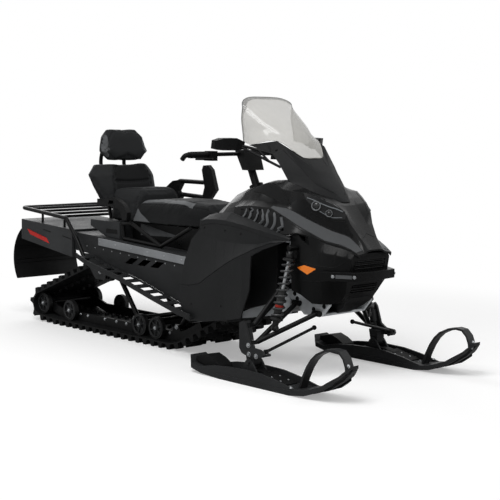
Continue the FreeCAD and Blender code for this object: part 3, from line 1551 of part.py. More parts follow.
def make_spindle():
    """Upright between the arms, with the foot that carries the ski and the steering arm."""
    half_eye = eye_height / 2 + knuckle_gap
    pieces = [prism_xz(web_outline, -ski_y - web_outer, -ski_y - web_inner)]
    spans_z = ((lower_eye - king_dir * (half_eye + knuckle_low_length), lower_eye - king_dir * half_eye),
               (lower_eye + king_dir * half_eye, upper_eye - king_dir * half_eye),
               (upper_eye + king_dir * half_eye, upper_eye + king_dir * (half_eye + knuckle_high_length)))
    shift = V(0, -web_inner - web_overlap, 0)
    square = V(king_dir.z, 0, -king_dir.x) * knuckle_block_half
    for low, high in spans_z:
        pieces.append(rod(low, high, knuckle_radius))
        pieces.append(loft([[point - square, point + square, point + square + shift, point - square + shift]
                            for point in (low, high)]))
    pieces.append(rod(spans_z[0][0], spans_z[2][1], kingpin_radius))
    pieces.append(cross_rod(ski_pivot.x, -ski_y - foot_half_width, -ski_y + foot_half_width, ski_pivot.z,
                            foot_radius))
    pieces.append(prism_xz(neck_outline, -ski_y - foot_half_width, -ski_y + foot_half_width))
    pieces.append(prism_xz(bridge_outline, -ski_y - web_outer, -ski_y))
    tab_top = tie_eye - king_dir * (tie_eye_half_height + tie_gap)
    pieces.append(rod(tab_top - king_dir * tie_tab_height, tab_top, tie_tab_radius))
    spindle = fuse(pieces[0], *pieces[1:])
    bolt = cross_rod(ski_pivot.x, -ski_y - far_y, -ski_y + far_y, ski_pivot.z, ski_bolt_radius + pin_gap)
    return spindle.cut(bolt)


spindle = make_spindle()
save("spindle_right", spindle)
save("spindle_left", mirrored(spindle))

tie_inner = V(1066, -150, 262)
tie_radius = 8.0
tie_ball_radius = 13.0


def make_tie_rod():
    half = king_dir * tie_eye_half_height
    eye = rod(tie_eye - half, tie_eye + half, tie_eye_radius)
    return fuse(eye, rod(tie_eye, tie_inner, tie_radius), Part.makeSphere(tie_ball_radius, tie_inner))


tie_rod = make_tie_rod()
save("tie_rod_right", tie_rod)
save("tie_rod_left", mirrored(tie_rod))

ski_half_width = 88.0
deck_thickness = 14.0
keel_height = 12.0
keel_half_width = 13.0
# Underside of the keel and half widths of the plan, from the tail to the tip
ski_line = [(522, 62), (556, 26), (640, 8), (780, 0), (1300, 0), (1400, 14), (1500, 50), (1596, 112),
            (1650, 165)]
ski_plan_half = [(516, 50), (560, 84), (900, 88), (1400, 88), (1540, 74), (1612, 50), (1650, 26)]
ski_plan_z = 400.0
ski_wall_outline = [(600, 30), (643, 46), (739, 64), (855, 75), (968, 79), (1092, 76), (1220, 58), (1340, 32),
                    (1340, 20), (640, 20)]
ski_wall_half = 5.0
ski_wall_y = 81.0
ear_outline = [(880, 24), (1050, 24), (984, 112), (970, 127), (950, 127), (936, 112)]
ear_thickness = 10.0
ear_gap = 0.5
bolt_reach = 18.0
loop_line = [(1306, 16), (1330, 84), (1358, 140), (1386, 180), (1420, 212), (1478, 240), (1530, 250),
             (1568, 246), (1598, 218), (1614, 180), (1620, 140)]
loop_thickness = 12.0
loop_half_width = 26.0


def make_ski():
    """Ski: curved deck, keels, side walls, ears for the bolt and the strap at its tip."""
    low = [(x, z + keel_height) for x, z in ski_line]
    high = [(x, z + keel_height + deck_thickness) for x, z in reversed(ski_line)]
    deck = prism_xz(low + high, -ski_y - ski_half_width, -ski_y + ski_half_width)
    plan = [(x, -ski_y - w) for x, w in ski_plan_half] + [(x, -ski_y + w) for x, w in reversed(ski_plan_half)]
    keels = []
    for offset in (-ski_half_width + keel_half_width, 0, ski_half_width - keel_half_width):
        keels.append(prism_xz(ski_line + list(reversed(low)), -ski_y + offset - keel_half_width,
                              -ski_y + offset + keel_half_width))
    walls = [prism_xz(ski_wall_outline, -ski_y + offset - ski_wall_half, -ski_y + offset + ski_wall_half)
             for offset in (-ski_wall_y, ski_wall_y)]
    ski = fuse(deck, *(keels + walls)).common(prism_xy(plan, -overrun, ski_plan_z))
    ears = []
    for side in (-1, 1):
        inner = -ski_y + side * (foot_half_width + ear_gap)
        outer = inner + side * ear_thickness
        ears.append(prism_xz(ear_outline, min(inner, outer), max(inner, outer)))
    bolt_half = foot_half_width + bolt_reach
    bolt = cross_rod(ski_pivot.x, -ski_y - bolt_half, -ski_y + bolt_half, ski_pivot.z, ski_bolt_radius)
    loop = prism_xz(strip(loop_line, loop_thickness), -ski_y - loop_half_width, -ski_y + loop_half_width)
    return fuse(ski, *(ears + [bolt, loop]))


ski = make_ski()
save("ski_right", ski)
save("ski_left", mirrored(ski))

pad_half_width = 24.0
pad_front_half_width = 58.0
pad_floor_z = 26.0
pad_outline = [(830, pad_floor_z), (1110, pad_floor_z), (1100, 62), (1040, 74), (960, 74), (880, 68)]
ridge_line = ((1066, 70), (1217, 40))
ridge_count = 7
ridge_drop = 12.0
tail_pad_outline = [(556, 60), (560, 86), (642, 104), (697, 86), (743, 60), (752, 27), (660, 34)]
tail_pad_half_width = 46.0


def make_ski_pads():
    """Rubber block under the spindle's foot, its toothed tongue, and the raised block on the tail."""
    (rear_x, rear_z), (front_x, front_z) = ridge_line
    teeth = [(rear_x, pad_floor_z)]
    for i in range(ridge_count):
        share = i / ridge_count
        x = rear_x + share * (front_x - rear_x)
        z = rear_z + share * (front_z - rear_z)
        teeth += [(x, z), (x + (front_x - rear_x) / ridge_count, z - ridge_drop)]
    teeth.append((front_x, pad_floor_z))
    tongue = prism_xz(teeth, -ski_y - pad_front_half_width, -ski_y + pad_front_half_width)
    block = prism_xz(pad_outline, -ski_y - pad_half_width, -ski_y + pad_half_width)
    tail = prism_xz(tail_pad_outline, -ski_y - tail_pad_half_width, -ski_y + tail_pad_half_width)
    return fuse(block, tongue).cut(ski), largest(tail.cut(ski))


ski_pads = make_ski_pads()
save("ski_pad_right", *ski_pads)
save("ski_pad_left", *[mirrored(pad) for pad in ski_pads])
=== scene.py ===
# %% [markdown]
# # A two-up utility snowmobile
# This lesson dresses a snowmobile whose solid parts already exist as a fixed frame.
# The frame gives every part at its real place, in metres: +X is forward, +Y is left and +Z is up.
# Each cell adds one finish or one group of pieces and prints what it made.

# %% Load the frame
import bpy
import bmesh
import json
import math
import random
from mathutils import Matrix, Vector
from mathutils.bvhtree import BVHTree
from mathutils.kdtree import KDTree


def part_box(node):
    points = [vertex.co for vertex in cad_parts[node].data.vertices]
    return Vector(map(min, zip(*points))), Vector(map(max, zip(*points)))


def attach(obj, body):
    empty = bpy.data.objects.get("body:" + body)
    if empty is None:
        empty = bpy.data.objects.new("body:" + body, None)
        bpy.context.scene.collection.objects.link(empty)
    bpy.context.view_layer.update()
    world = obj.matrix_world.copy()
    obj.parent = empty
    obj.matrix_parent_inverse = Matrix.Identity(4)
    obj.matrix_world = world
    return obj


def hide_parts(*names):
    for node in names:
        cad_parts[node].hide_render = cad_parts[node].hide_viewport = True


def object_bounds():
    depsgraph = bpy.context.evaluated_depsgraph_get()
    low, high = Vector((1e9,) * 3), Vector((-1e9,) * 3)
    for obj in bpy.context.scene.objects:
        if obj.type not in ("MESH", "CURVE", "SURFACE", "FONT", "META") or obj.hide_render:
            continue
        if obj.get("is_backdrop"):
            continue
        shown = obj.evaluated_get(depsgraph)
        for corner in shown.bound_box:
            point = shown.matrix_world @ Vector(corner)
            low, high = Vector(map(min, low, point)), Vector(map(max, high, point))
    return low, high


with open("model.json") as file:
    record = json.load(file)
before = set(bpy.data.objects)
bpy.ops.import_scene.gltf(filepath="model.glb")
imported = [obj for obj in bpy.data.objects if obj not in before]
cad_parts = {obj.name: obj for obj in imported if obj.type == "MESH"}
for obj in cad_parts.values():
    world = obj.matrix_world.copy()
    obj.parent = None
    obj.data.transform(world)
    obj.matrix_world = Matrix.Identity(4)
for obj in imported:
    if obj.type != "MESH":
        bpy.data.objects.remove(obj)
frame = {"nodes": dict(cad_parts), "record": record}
cad_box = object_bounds()
nodes = frame["nodes"]
random.seed(7)

# %% [markdown]
# ## The camera
# The view is the right front quarter from a little above the hood, with a long lens.
# A long lens keeps the far ski nearly as large as the near one, so its focal length matters as much as its place.
# An empty target isn't needed: a direction turned into a rotation places the camera in one step.

# %% Camera
scene = bpy.context.scene
camera_place = Vector((5.45406, -4.77848, 1.34142))
camera_target = Vector((0.4107, 0.0, 0.6069))
camera_roll = math.radians(0.6416)
camera_data = bpy.data.cameras.new("camera")
camera = bpy.data.objects.new("camera", camera_data)
scene.collection.objects.link(camera)
camera_data.lens = 88.35
camera_data.sensor_width = 36.0
camera_data.clip_end = 100.0
turn = (camera_target - camera_place).to_track_quat("-Z", "Y").to_matrix().to_4x4()
camera.matrix_world = Matrix.Translation(camera_place) @ turn @ Matrix.Rotation(camera_roll, 4, "Z")
scene.camera = camera
print("camera stands", round((camera_target - camera_place).length, 2), "m away")

# %% [markdown]
# ## Node helpers
# Shader trees are built in code. One helper adds a node and sets its values, another joins two sockets,
# and a third opens a material with an empty tree.

# %% Node helpers


def new_material(name):
    """A material with an empty node tree, and its tree."""
    material = bpy.data.materials.new(name)
    material.use_nodes = True
    tree = material.node_tree
    tree.nodes.clear()
    return material, tree


def node(tree, kind, **values):
    """Adds a node; each word sets a property of that name, or else a socket."""
    made = tree.nodes.new(kind)
    for key, value in values.items():
        if hasattr(made, key):
            setattr(made, key, value)
        else:
            made.inputs[key.replace("_", " ")].default_value = value
    return made


def link(tree, start, end):
    tree.links.new(start, end)


def arithmetic(tree, operation, first, second):
    """Math node; each side is a socket or a number."""
    made = node(tree, "ShaderNodeMath", operation=operation)
    for socket, value in zip(made.inputs, (first, second)):
        if isinstance(value, (int, float)):
            socket.default_value = value
        else:
            link(tree, value, socket)
    return made.outputs[0]


def ramp(tree, source, low, high):
    """Maps a value between two levels to 0..1, smoothly."""
    made = node(tree, "ShaderNodeMapRange", interpolation_type="SMOOTHSTEP", clamp=True)
    made.inputs["From Min"].default_value = low
    made.inputs["From Max"].default_value = high
    link(tree, source, made.inputs["Value"])
    return made.outputs["Result"]


print("helpers ready")

# %% [markdown]
# ## Floor, sky and lamps
# Black plastic shows its shape only through what it reflects, so the lamps are large and soft.
# Camera rays see the world as plain white. The floor keeps the shadow near the snowmobile and fades into
# that white further out, so no horizon shows.

# %% Studio
scene.view_settings.view_transform = "Standard"
floor_size = 60.0
half = floor_size / 2
floor_mesh = bpy.data.meshes.new("floor")
floor_mesh.from_pydata([(-half, -half, 0), (half, -half, 0), (half, half, 0), (-half, half, 0)], [], [(0, 1, 2, 3)])
floor = bpy.data.objects.new("floor", floor_mesh)
scene.collection.objects.link(floor)
floor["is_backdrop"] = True

floor_paint, tree = new_material("floor_paint")
matt = node(tree, "ShaderNodeBsdfDiffuse", Color=(0.6, 0.6, 0.6, 1))
shadow_part = node(tree, "ShaderNodeBsdfDiffuse", Color=(0.76, 0.76, 0.76, 1))
lift = node(tree, "ShaderNodeEmission", Color=(1, 1, 1, 1), Strength=0.33)
near = node(tree, "ShaderNodeAddShader")
link(tree, shadow_part.outputs[0], near.inputs[0])
link(tree, lift.outputs[0], near.inputs[1])
backdrop = node(tree, "ShaderNodeEmission", Color=(1, 1, 1, 1), Strength=1.0)
place = node(tree, "ShaderNodeTexCoord")
reach = node(tree, "ShaderNodeVectorMath", operation="LENGTH")
link(tree, place.outputs["Object"], reach.inputs[0])
fade = node(tree, "ShaderNodeMixShader")
link(tree, ramp(tree, reach.outputs["Value"], 1.9, 3.6), fade.inputs[0])
link(tree, near.outputs[0], fade.inputs[1])
link(tree, backdrop.outputs[0], fade.inputs[2])
seen = node(tree, "ShaderNodeLightPath")
choice = node(tree, "ShaderNodeMixShader")
link(tree, seen.outputs["Is Camera Ray"], choice.inputs[0])
link(tree, matt.outputs[0], choice.inputs[1])
link(tree, fade.outputs[0], choice.inputs[2])
out = node(tree, "ShaderNodeOutputMaterial")
link(tree, choice.outputs[0], out.inputs[0])
floor_mesh.materials.append(floor_paint)

world = bpy.data.worlds.new("studio")
scene.world = world
world.use_nodes = True
tree = world.node_tree
tree.nodes.clear()
seen = node(tree, "ShaderNodeLightPath")
direct = arithmetic(tree, "MAXIMUM", seen.outputs["Is Camera Ray"], seen.outputs["Is Transmission Ray"])
passed = arithmetic(tree, "MAXIMUM", direct, seen.outputs["Is Glossy Ray"])
dim = node(tree, "ShaderNodeBackground", Color=(1, 1, 1, 1), Strength=0.3)
white = node(tree, "ShaderNodeBackground", Color=(1, 1, 1, 1), Strength=1.0)
choice = node(tree, "ShaderNodeMixShader")
link(tree, passed, choice.inputs[0])
link(tree, dim.outputs[0], choice.inputs[1])
link(tree, white.outputs[0], choice.inputs[2])
out = node(tree, "ShaderNodeOutputWorld")
link(tree, choice.outputs[0], out.inputs[0])


def soft_lamp(name, place, target, size, watts):
    """Large square lamp that faces a point."""
    data = bpy.data.lights.new(name, "AREA")
    data.energy = watts
    data.size = size
    lamp = bpy.data.objects.new(name, data)
    scene.collection.objects.link(lamp)
    lamp.location = place
    lamp.rotation_euler = (Vector(target) - Vector(place)).to_track_quat("-Z", "Y").to_euler()
    return lamp


soft_lamp("key_lamp", (1.6, -3.2, 5.2), (0, 0, 0.5), 3.2, 230)
soft_lamp("fill_lamp", (4.5, 3.5, 3.5), (0.3, 0, 0.5), 3.0, 60)
soft_lamp("back_lamp", (-4.5, 1.5, 3.5), (0, 0, 0.6), 2.5, 80)
print("studio ready")

# %% [markdown]
# ## Shared effects
# Moulded plastic, coated metal and rubber all vary a little in colour, have a fine grain,
# and wear paler at their edges. Each effect is one node group with named inputs, used by every material.
# Groups give out only colours, masks, values and heights: the shader itself stays in the material.

# %% Effect groups


def new_group(name, inputs, outputs):
    """Node group with float or colour sockets; a tuple default makes a colour."""
    group = bpy.data.node_groups.new(name, "ShaderNodeTree")
    for label, default in inputs:
        kind = "NodeSocketColor" if isinstance(default, tuple) else "NodeSocketFloat"
        socket = group.interface.new_socket(label, in_out="INPUT", socket_type=kind)
        socket.default_value = default
    for label, kind in outputs:
        group.interface.new_socket(label, in_out="OUTPUT", socket_type=kind)
    return group, group.nodes.new("NodeGroupInput"), group.nodes.new("NodeGroupOutput")


tint_group, start, end = new_group(
    "colour_variation",
    [("Colour", (0.5, 0.5, 0.5, 1.0)), ("Amount", 0.2), ("Scale", 3.0)],
    [("Colour", "NodeSocketColor"), ("Mask", "NodeSocketFloat")])
place = node(tint_group, "ShaderNodeTexCoord")
cloud = node(tint_group, "ShaderNodeTexNoise", Detail=6.0, Roughness=0.6)
link(tint_group, place.outputs["Object"], cloud.inputs["Vector"])
link(tint_group, start.outputs["Scale"], cloud.inputs["Scale"])
mask = ramp(tint_group, cloud.outputs["Fac"], 0.35, 0.65)
signed = node(tint_group, "ShaderNodeMath", operation="SUBTRACT")
link(tint_group, mask, signed.inputs[0])
signed.inputs[1].default_value = 0.5
swing = node(tint_group, "ShaderNodeMath", operation="MULTIPLY_ADD")
link(tint_group, signed.outputs[0], swing.inputs[0])
link(tint_group, start.outputs["Amount"], swing.inputs[1])
swing.inputs[2].default_value = 1.0
shade = node(tint_group, "ShaderNodeHueSaturation")
link(tint_group, start.outputs["Colour"], shade.inputs["Color"])
link(tint_group, swing.outputs[0], shade.inputs["Value"])
link(tint_group, shade.outputs[0], end.inputs["Colour"])
link(tint_group, mask, end.inputs["Mask"])

wear_group, start, end = new_group(
    "edge_wear",
    [("Width", 0.003), ("Amount", 0.5), ("Scale", 60.0)],
    [("Mask", "NodeSocketFloat")])
place = node(wear_group, "ShaderNodeTexCoord")
geometry = node(wear_group, "ShaderNodeNewGeometry")
rounded = node(wear_group, "ShaderNodeBevel", samples=4)
link(wear_group, start.outputs["Width"], rounded.inputs["Radius"])
facing = node(wear_group, "ShaderNodeVectorMath", operation="DOT_PRODUCT")
link(wear_group, rounded.outputs[0], facing.inputs[0])
link(wear_group, geometry.outputs["Normal"], facing.inputs[1])
edge = node(wear_group, "ShaderNodeMapRange", clamp=True)
edge.inputs["From Min"].default_value = 0.97
edge.inputs["From Max"].default_value = 0.75
link(wear_group, facing.outputs["Value"], edge.inputs["Value"])
patches = node(wear_group, "ShaderNodeTexNoise", Detail=4.0)
link(wear_group, place.outputs["Object"], patches.inputs["Vector"])
link(wear_group, start.outputs["Scale"], patches.inputs["Scale"])
broken = ramp(wear_group, patches.outputs["Fac"], 0.42, 0.6)
worn = node(wear_group, "ShaderNodeMath", operation="MULTIPLY")
link(wear_group, edge.outputs["Result"], worn.inputs[0])
link(wear_group, broken, worn.inputs[1])
level = node(wear_group, "ShaderNodeMath", operation="MULTIPLY")
link(wear_group, worn.outputs[0], level.inputs[0])
link(wear_group, start.outputs["Amount"], level.inputs[1])
link(wear_group, level.outputs[0], end.inputs["Mask"])

grain_group, start, end = new_group(
    "moulded_grain",
    [("Scale", 900.0), ("Scratches", 0.2)],
    [("Height", "NodeSocketFloat"), ("Scratch", "NodeSocketFloat")])
place = node(grain_group, "ShaderNodeTexCoord")
cells = node(grain_group, "ShaderNodeTexVoronoi", feature="SMOOTH_F1")
cells.inputs["Smoothness"].default_value = 0.4
link(grain_group, place.outputs["Object"], cells.inputs["Vector"])
link(grain_group, start.outputs["Scale"], cells.inputs["Scale"])
stretch = node(grain_group, "ShaderNodeMapping")
stretch.inputs["Scale"].default_value = (3.0, 14.0, 160.0)
stretch.inputs["Rotation"].default_value = (0.5, 0.3, 0.7)
link(grain_group, place.outputs["Object"], stretch.inputs["Vector"])
lines = node(grain_group, "ShaderNodeTexNoise", Scale=4.0, Detail=2.0)
link(grain_group, stretch.outputs[0], lines.inputs["Vector"])
thin = ramp(grain_group, lines.outputs["Fac"], 0.66, 0.72)
scratch = node(grain_group, "ShaderNodeMath", operation="MULTIPLY")
link(grain_group, thin, scratch.inputs[0])
link(grain_group, start.outputs["Scratches"], scratch.inputs[1])
height = node(grain_group, "ShaderNodeMath", operation="SUBTRACT")
link(grain_group, cells.outputs["Distance"], height.inputs[0])
link(grain_group, scratch.outputs[0], height.inputs[1])
link(grain_group, height.outputs[0], end.inputs["Height"])
link(grain_group, scratch.outputs[0], end.inputs["Scratch"])
print("effect groups:", [group.name for group in bpy.data.node_groups])

# %% [markdown]
# ## Finishes
# One function lays the effects into a material: base colour with variation, edges that wear paler,
# a grain that lifts the normal, and a roughness that changes with the grain and the scratches.
# The numbers that stay the same all over are set on the shader's own sockets.

# %% Finish maker


def group_node(tree, group):
    made = tree.nodes.new("ShaderNodeGroup")
    made.node_tree = group
    return made


def finish(name, colour, rough, worn=(0.2, 0.2, 0.2), wear=0.25, vary=0.25, vary_scale=4.0, grain=900.0,
           grain_depth=0.0004, scratches=0.15, metal=0.0, specular=0.1, coat=0.0, edge=0.0025):
    """Procedural finish with colour variation, edge wear, grain and varied roughness."""
    material, tree = new_material(name)
    tint = group_node(tree, tint_group)
    tint.inputs["Colour"].default_value = (*colour, 1)
    tint.inputs["Amount"].default_value = vary
    tint.inputs["Scale"].default_value = vary_scale
    edges = group_node(tree, wear_group)
    edges.inputs["Width"].default_value = edge
    edges.inputs["Amount"].default_value = wear
    pattern = group_node(tree, grain_group)
    pattern.inputs["Scale"].default_value = grain
    pattern.inputs["Scratches"].default_value = scratches
    blend = node(tree, "ShaderNodeMix", data_type="RGBA")
    link(tree, edges.outputs["Mask"], blend.inputs["Factor"])
    link(tree, tint.outputs["Colour"], blend.inputs[6])
    blend.inputs[7].default_value = (*worn, 1)
    shader = node(tree, "ShaderNodeBsdfPrincipled")
    link(tree, blend.outputs[2], shader.inputs["Base Color"])
    uneven = node(tree, "ShaderNodeMapRange")
    uneven.inputs["To Min"].default_value = rough - 0.06
    uneven.inputs["To Max"].default_value = rough + 0.06
    link(tree, tint.outputs["Mask"], uneven.inputs["Value"])
    scuffed = node(tree, "ShaderNodeMath", operation="ADD", use_clamp=True)
    link(tree, uneven.outputs["Result"], scuffed.inputs[0])
    link(tree, pattern.outputs["Scratch"], scuffed.inputs[1])
    link(tree, scuffed.outputs[0], shader.inputs["Roughness"])
    bump = node(tree, "ShaderNodeBump", Strength=0.6, Distance=grain_depth)
    link(tree, pattern.outputs["Height"], bump.inputs["Height"])
    link(tree, bump.outputs[0], shader.inputs["Normal"])
    shader.inputs["Metallic"].default_value = metal
    shader.inputs["Specular IOR Level"].default_value = specular
    shader.inputs["Coat Weight"].default_value = coat
    shader.inputs["Coat Roughness"].default_value = 0.12
    out = node(tree, "ShaderNodeOutputMaterial")
    link(tree, shader.outputs[0], out.inputs[0])
    return material


def grey(level):
    return (level, level * 1.04, level * 1.08)


finishes = {
    "track_rubber": finish("track_rubber", grey(0.005), 0.6, worn=(0.05, 0.05, 0.05), wear=0.5, specular=0.12,
                           grain=500.0, scratches=0.1),
    "wheel_rubber": finish("wheel_rubber", grey(0.006), 0.5, specular=0.2),
    "wheel_web": finish("wheel_web", grey(0.03), 0.42, worn=(0.1, 0.1, 0.1), wear=0.4),
    "frame_black": finish("frame_black", grey(0.004), 0.34, worn=(0.07, 0.07, 0.07), grain=1500.0,
                          grain_depth=0.0002),
    "board_black": finish("board_black", grey(0.016), 0.42, worn=(0.16, 0.16, 0.17), wear=0.5),
    "tunnel_black": finish("tunnel_black", grey(0.022), 0.4, worn=(0.08, 0.08, 0.08)),
    "trim_grey": finish("trim_grey", grey(0.22), 0.42, worn=(0.3, 0.3, 0.3)),
    "body_satin": finish("body_satin", grey(0.032), 0.42, worn=(0.1, 0.1, 0.1), grain=1300.0),
    "flap_rubber": finish("flap_rubber", grey(0.007), 0.5, worn=(0.04, 0.04, 0.04)),
    "body_black": finish("body_black", grey(0.004), 0.33, worn=(0.06, 0.06, 0.06), grain=1300.0,
                         grain_depth=0.0002),
    "base_grey": finish("base_grey", grey(0.034), 0.5, specular=0.05),
    "handle_plastic": finish("handle_plastic", grey(0.005), 0.42, worn=(0.07, 0.07, 0.07), grain=1200.0),
    "panel_satin": finish("panel_satin", grey(0.014), 0.40, worn=(0.08, 0.08, 0.085), grain=1300.0, vary=0.12),
    "body_gloss": finish("body_gloss", grey(0.005), 0.24, worn=(0.07, 0.07, 0.075), grain=2000.0,
                         grain_depth=0.00005, specular=0.14, coat=0.04, vary=0.1),
    "control_black": finish("control_black", grey(0.004), 0.45, worn=(0.05, 0.05, 0.05)),
    "cast_grey": finish("cast_grey", grey(0.55), 0.5, worn=(0.7, 0.7, 0.7), grain=700.0, specular=0.3),
    "spring_black": finish("spring_black", grey(0.006), 0.3, worn=(0.08, 0.08, 0.08), specular=0.3),
    "spindle_black": finish("spindle_black", grey(0.02), 0.4, worn=(0.1, 0.1, 0.1)),
    "ski_plastic": finish("ski_plastic", grey(0.022), 0.40, worn=(0.09, 0.09, 0.09), grain=900.0, wear=0.4),
    "pad_rubber": finish("pad_rubber", grey(0.003), 0.6, worn=(0.04, 0.04, 0.04), specular=0.12),
    "seat_vinyl": finish("seat_vinyl", grey(0.019), 0.55, grain=420.0, grain_depth=0.0009, wear=0.1, specular=0.05),
    "stripe_grey": finish("stripe_grey", grey(0.07), 0.4, grain=1300.0, vary=0.12),
    "bolt_steel": finish("bolt_steel", (0.32, 0.33, 0.34), 0.32, metal=0.9, wear=0.4),
    # The lamp lines' pale coated grey is a painted glow; they give no light.
    "lamp_painted_glow": finish("lamp_painted_glow", (0.13, 0.14, 0.15), 0.1, coat=0.4, grain=400.0, vary=0.1),
    "mirror_glass": finish("mirror_glass", (0.35, 0.37, 0.39), 0.04, metal=1.0, grain_depth=0.00001,
                           vary=0.05,
                           scratches=0.02),
    "rim_grey": finish("rim_grey", grey(0.16), 0.3, grain=1400.0, vary=0.1),
    "cowl_dark": finish("cowl_dark", grey(0.009), 0.5, worn=(0.05, 0.05, 0.05)),
    # The engine's finish is near-black instead of its cast grey: painted shade for the shaded engine bay.
    "engine_painted_shade": finish("engine_painted_shade", grey(0.012), 0.5, worn=(0.05, 0.05, 0.05)),
    # One grey for the bumper plates and the louvre fins; on the fins it is a painted highlight for the slats' lit
    # edges.
    "grey_plate_and_fin_highlight": finish("grey_plate_and_fin_highlight", grey(0.09), 0.35, grain=1300.0, vary=0.12),
    "spring_red": finish("spring_red", (0.35, 0.03, 0.02), 0.4),
    "spring_steel": finish("spring_steel", grey(0.03), 0.32, worn=(0.2, 0.2, 0.2), specular=0.4, wear=0.4),
    "seat_side": finish("seat_side", grey(0.010), 0.55, grain=700.0, grain_depth=0.0005, wear=0.1, specular=0.05),
    "seat_pale": finish("seat_pale", grey(0.085), 0.5, grain=700.0, grain_depth=0.0005, wear=0.1),
    "lens_red": finish("lens_red", (0.55, 0.02, 0.015), 0.15, worn=(0.7, 0.2, 0.2), coat=0.6, grain=300.0),
    "lens_amber": finish("lens_amber", (0.9, 0.22, 0.015), 0.18, worn=(0.95, 0.5, 0.2), coat=0.6, grain=300.0),
    "lens_clear": finish("lens_clear", grey(0.012), 0.08, coat=0.5, grain=300.0),
}
print("finishes:", len(finishes))

# %% Tinted screen
screen, tree = new_material("screen")
tint = group_node(tree, tint_group)
tint.inputs["Colour"].default_value = (0.52, 0.51, 0.48, 1)
tint.inputs["Amount"].default_value = 0.1
shader = node(tree, "ShaderNodeBsdfPrincipled")
link(tree, tint.outputs["Colour"], shader.inputs["Base Color"])
shader.inputs["Roughness"].default_value = 0.12
shader.inputs["Alpha"].default_value = 0.55
pattern = group_node(tree, grain_group)
bump = node(tree, "ShaderNodeBump", Strength=0.2, Distance=0.0001)
link(tree, pattern.outputs["Height"], bump.inputs["Height"])
link(tree, bump.outputs[0], shader.inputs["Normal"])
out = node(tree, "ShaderNodeOutputMaterial")
link(tree, shader.outputs[0], out.inputs[0])
finishes["screen"] = screen
edge_band = screen.copy()
edge_band.name = "screen_band"
for made in edge_band.node_tree.nodes:
    if made.type == "BSDF_PRINCIPLED":
        made.inputs["Alpha"].default_value = 0.35
    if made.type == "GROUP" and made.node_tree == tint_group:
        made.inputs["Colour"].default_value = (0.30, 0.30, 0.29, 1)
finishes["screen_band"] = edge_band
print("screen ready")

# %% [markdown]
# ## Dress the solids
# The solids keep their shape. A weld joins their facets, a narrow bevel gives every hard edge a highlight,
# and weighted normals keep the large faces flat beside it. These are modifiers, so the meshes stay as they came.

# %% Dress the carried-over nodes
soft_edges = {
    "hood": 0.0025, "side_panel_right": 0.003, "side_panel_left": 0.003, "windshield_cowl": 0.0025,
    "nose": 0.002, "console": 0.006, "tail_cover": 0.005, "front_bumper": 0.004, "mirrors": 0.005,
    "passenger_base": 0.005, "seat_pedestal": 0.004, "grab_handles": 0.004, "handlebar": 0.002,
    "ski_right": 0.002, "ski_left": 0.002, "ski_pad_right": 0.002, "ski_pad_left": 0.002,
    "spindle_right": 0.0015, "spindle_left": 0.0015, "side_trims": 0.002, "tunnel": 0.001,
}


def soften_edges(body, width):
    """Weld, bevel and weighted normals on one object."""
    weld = body.modifiers.new("weld", "WELD")
    weld.merge_threshold = 0.00002
    bevel = body.modifiers.new("bevel", "BEVEL")
    bevel.width = width
    bevel.segments = 2
    bevel.limit_method = "ANGLE"
    bevel.angle_limit = math.radians(28)
    bevel.harden_normals = False
    body.modifiers.new("weighted", "WEIGHTED_NORMAL")


# The engine gets a near-black finish as painted shade for its shaded bay; the cowl gets a darker black.
finish_swaps = {"engine": "engine_painted_shade", "windshield_cowl": "cowl_dark"}
record_slots = set()
for part in frame["record"]["subparts"]:
    record_slots.add(part["material_slot"])
    body = nodes[part["node"]]
    body.data.materials.clear()
    body.data.materials.append(finishes[part["material_slot"]])
    if part["node"] in finish_swaps:
        body.data.materials[0] = finishes[finish_swaps[part["node"]]]
    if part["node"] in soft_edges:
        soften_edges(body, soft_edges[part["node"]])

# %% [markdown]
# ## Small shapes in one mesh
# Fasteners, springs and ribs are many and small. Each kind is drawn into one open mesh (a bmesh) by a few
# functions, and the mesh becomes one piece that rides on the body it is fixed to.

# %% Mesh tools


def axes_of(direction):
    """Rotation that turns +Z to a direction."""
    return Vector(direction).to_track_quat("Z", "Y").to_matrix()


def add_loops(bm, loops, closed_ends=True, wrap=False):
    """Skins rings of points that have the same count."""
    rings = [[bm.verts.new(point) for point in loop] for loop in loops]
    pairs = list(zip(rings, rings[1:]))
    if wrap:
        pairs.append((rings[-1], rings[0]))
    for low, high in pairs:
        for i in range(len(low)):
            j = (i + 1) % len(low)
            bm.faces.new((low[i], low[j], high[j], high[i]))
    if closed_ends and not wrap:
        bm.faces.new(list(reversed(rings[0])))
        bm.faces.new(rings[-1])


def add_lathe(bm, place, direction, profile, segments=24):
    """Turned shape: the profile holds (radius, height) along a direction."""
    turn = axes_of(direction)
    loops = []
    for radius, height in profile:
        loops.append([Vector(place) + turn @ Vector((radius * math.cos(a), radius * math.sin(a), height))
                      for a in (2 * math.pi * i / segments for i in range(segments))])
    add_loops(bm, loops)


def add_rod(bm, start, end, radius, segments=14):
    start, end = Vector(start), Vector(end)
    length = (end - start).length
    edge = min(radius, length) * 0.15
    add_lathe(bm, start, end - start, ((radius - edge, 0), (radius, edge), (radius, length - edge),
                                       (radius - edge, length)), segments)


def add_tube(bm, points, radius, segments=10, wrap=False, flat=1.0):
    """Round or flattened bar along a path; its frame is carried along without twist."""
    points = [Vector(point) for point in points]
    count = len(points)
    loops = []
    side = None
    for i, here in enumerate(points):
        if wrap:
            along = points[(i + 1) % count] - points[i - 1]
        else:
            along = points[min(i + 1, count - 1)] - points[max(i - 1, 0)]
        along.normalize()
        if side is None:
            side = along.orthogonal().normalized()
        side = (side - along * side.dot(along)).normalized()
        up = along.cross(side)
        loops.append([here + side * (radius * math.cos(a)) + up * (radius * flat * math.sin(a))
                      for a in (2 * math.pi * k / segments for k in range(segments))])
    add_loops(bm, loops, True, wrap)


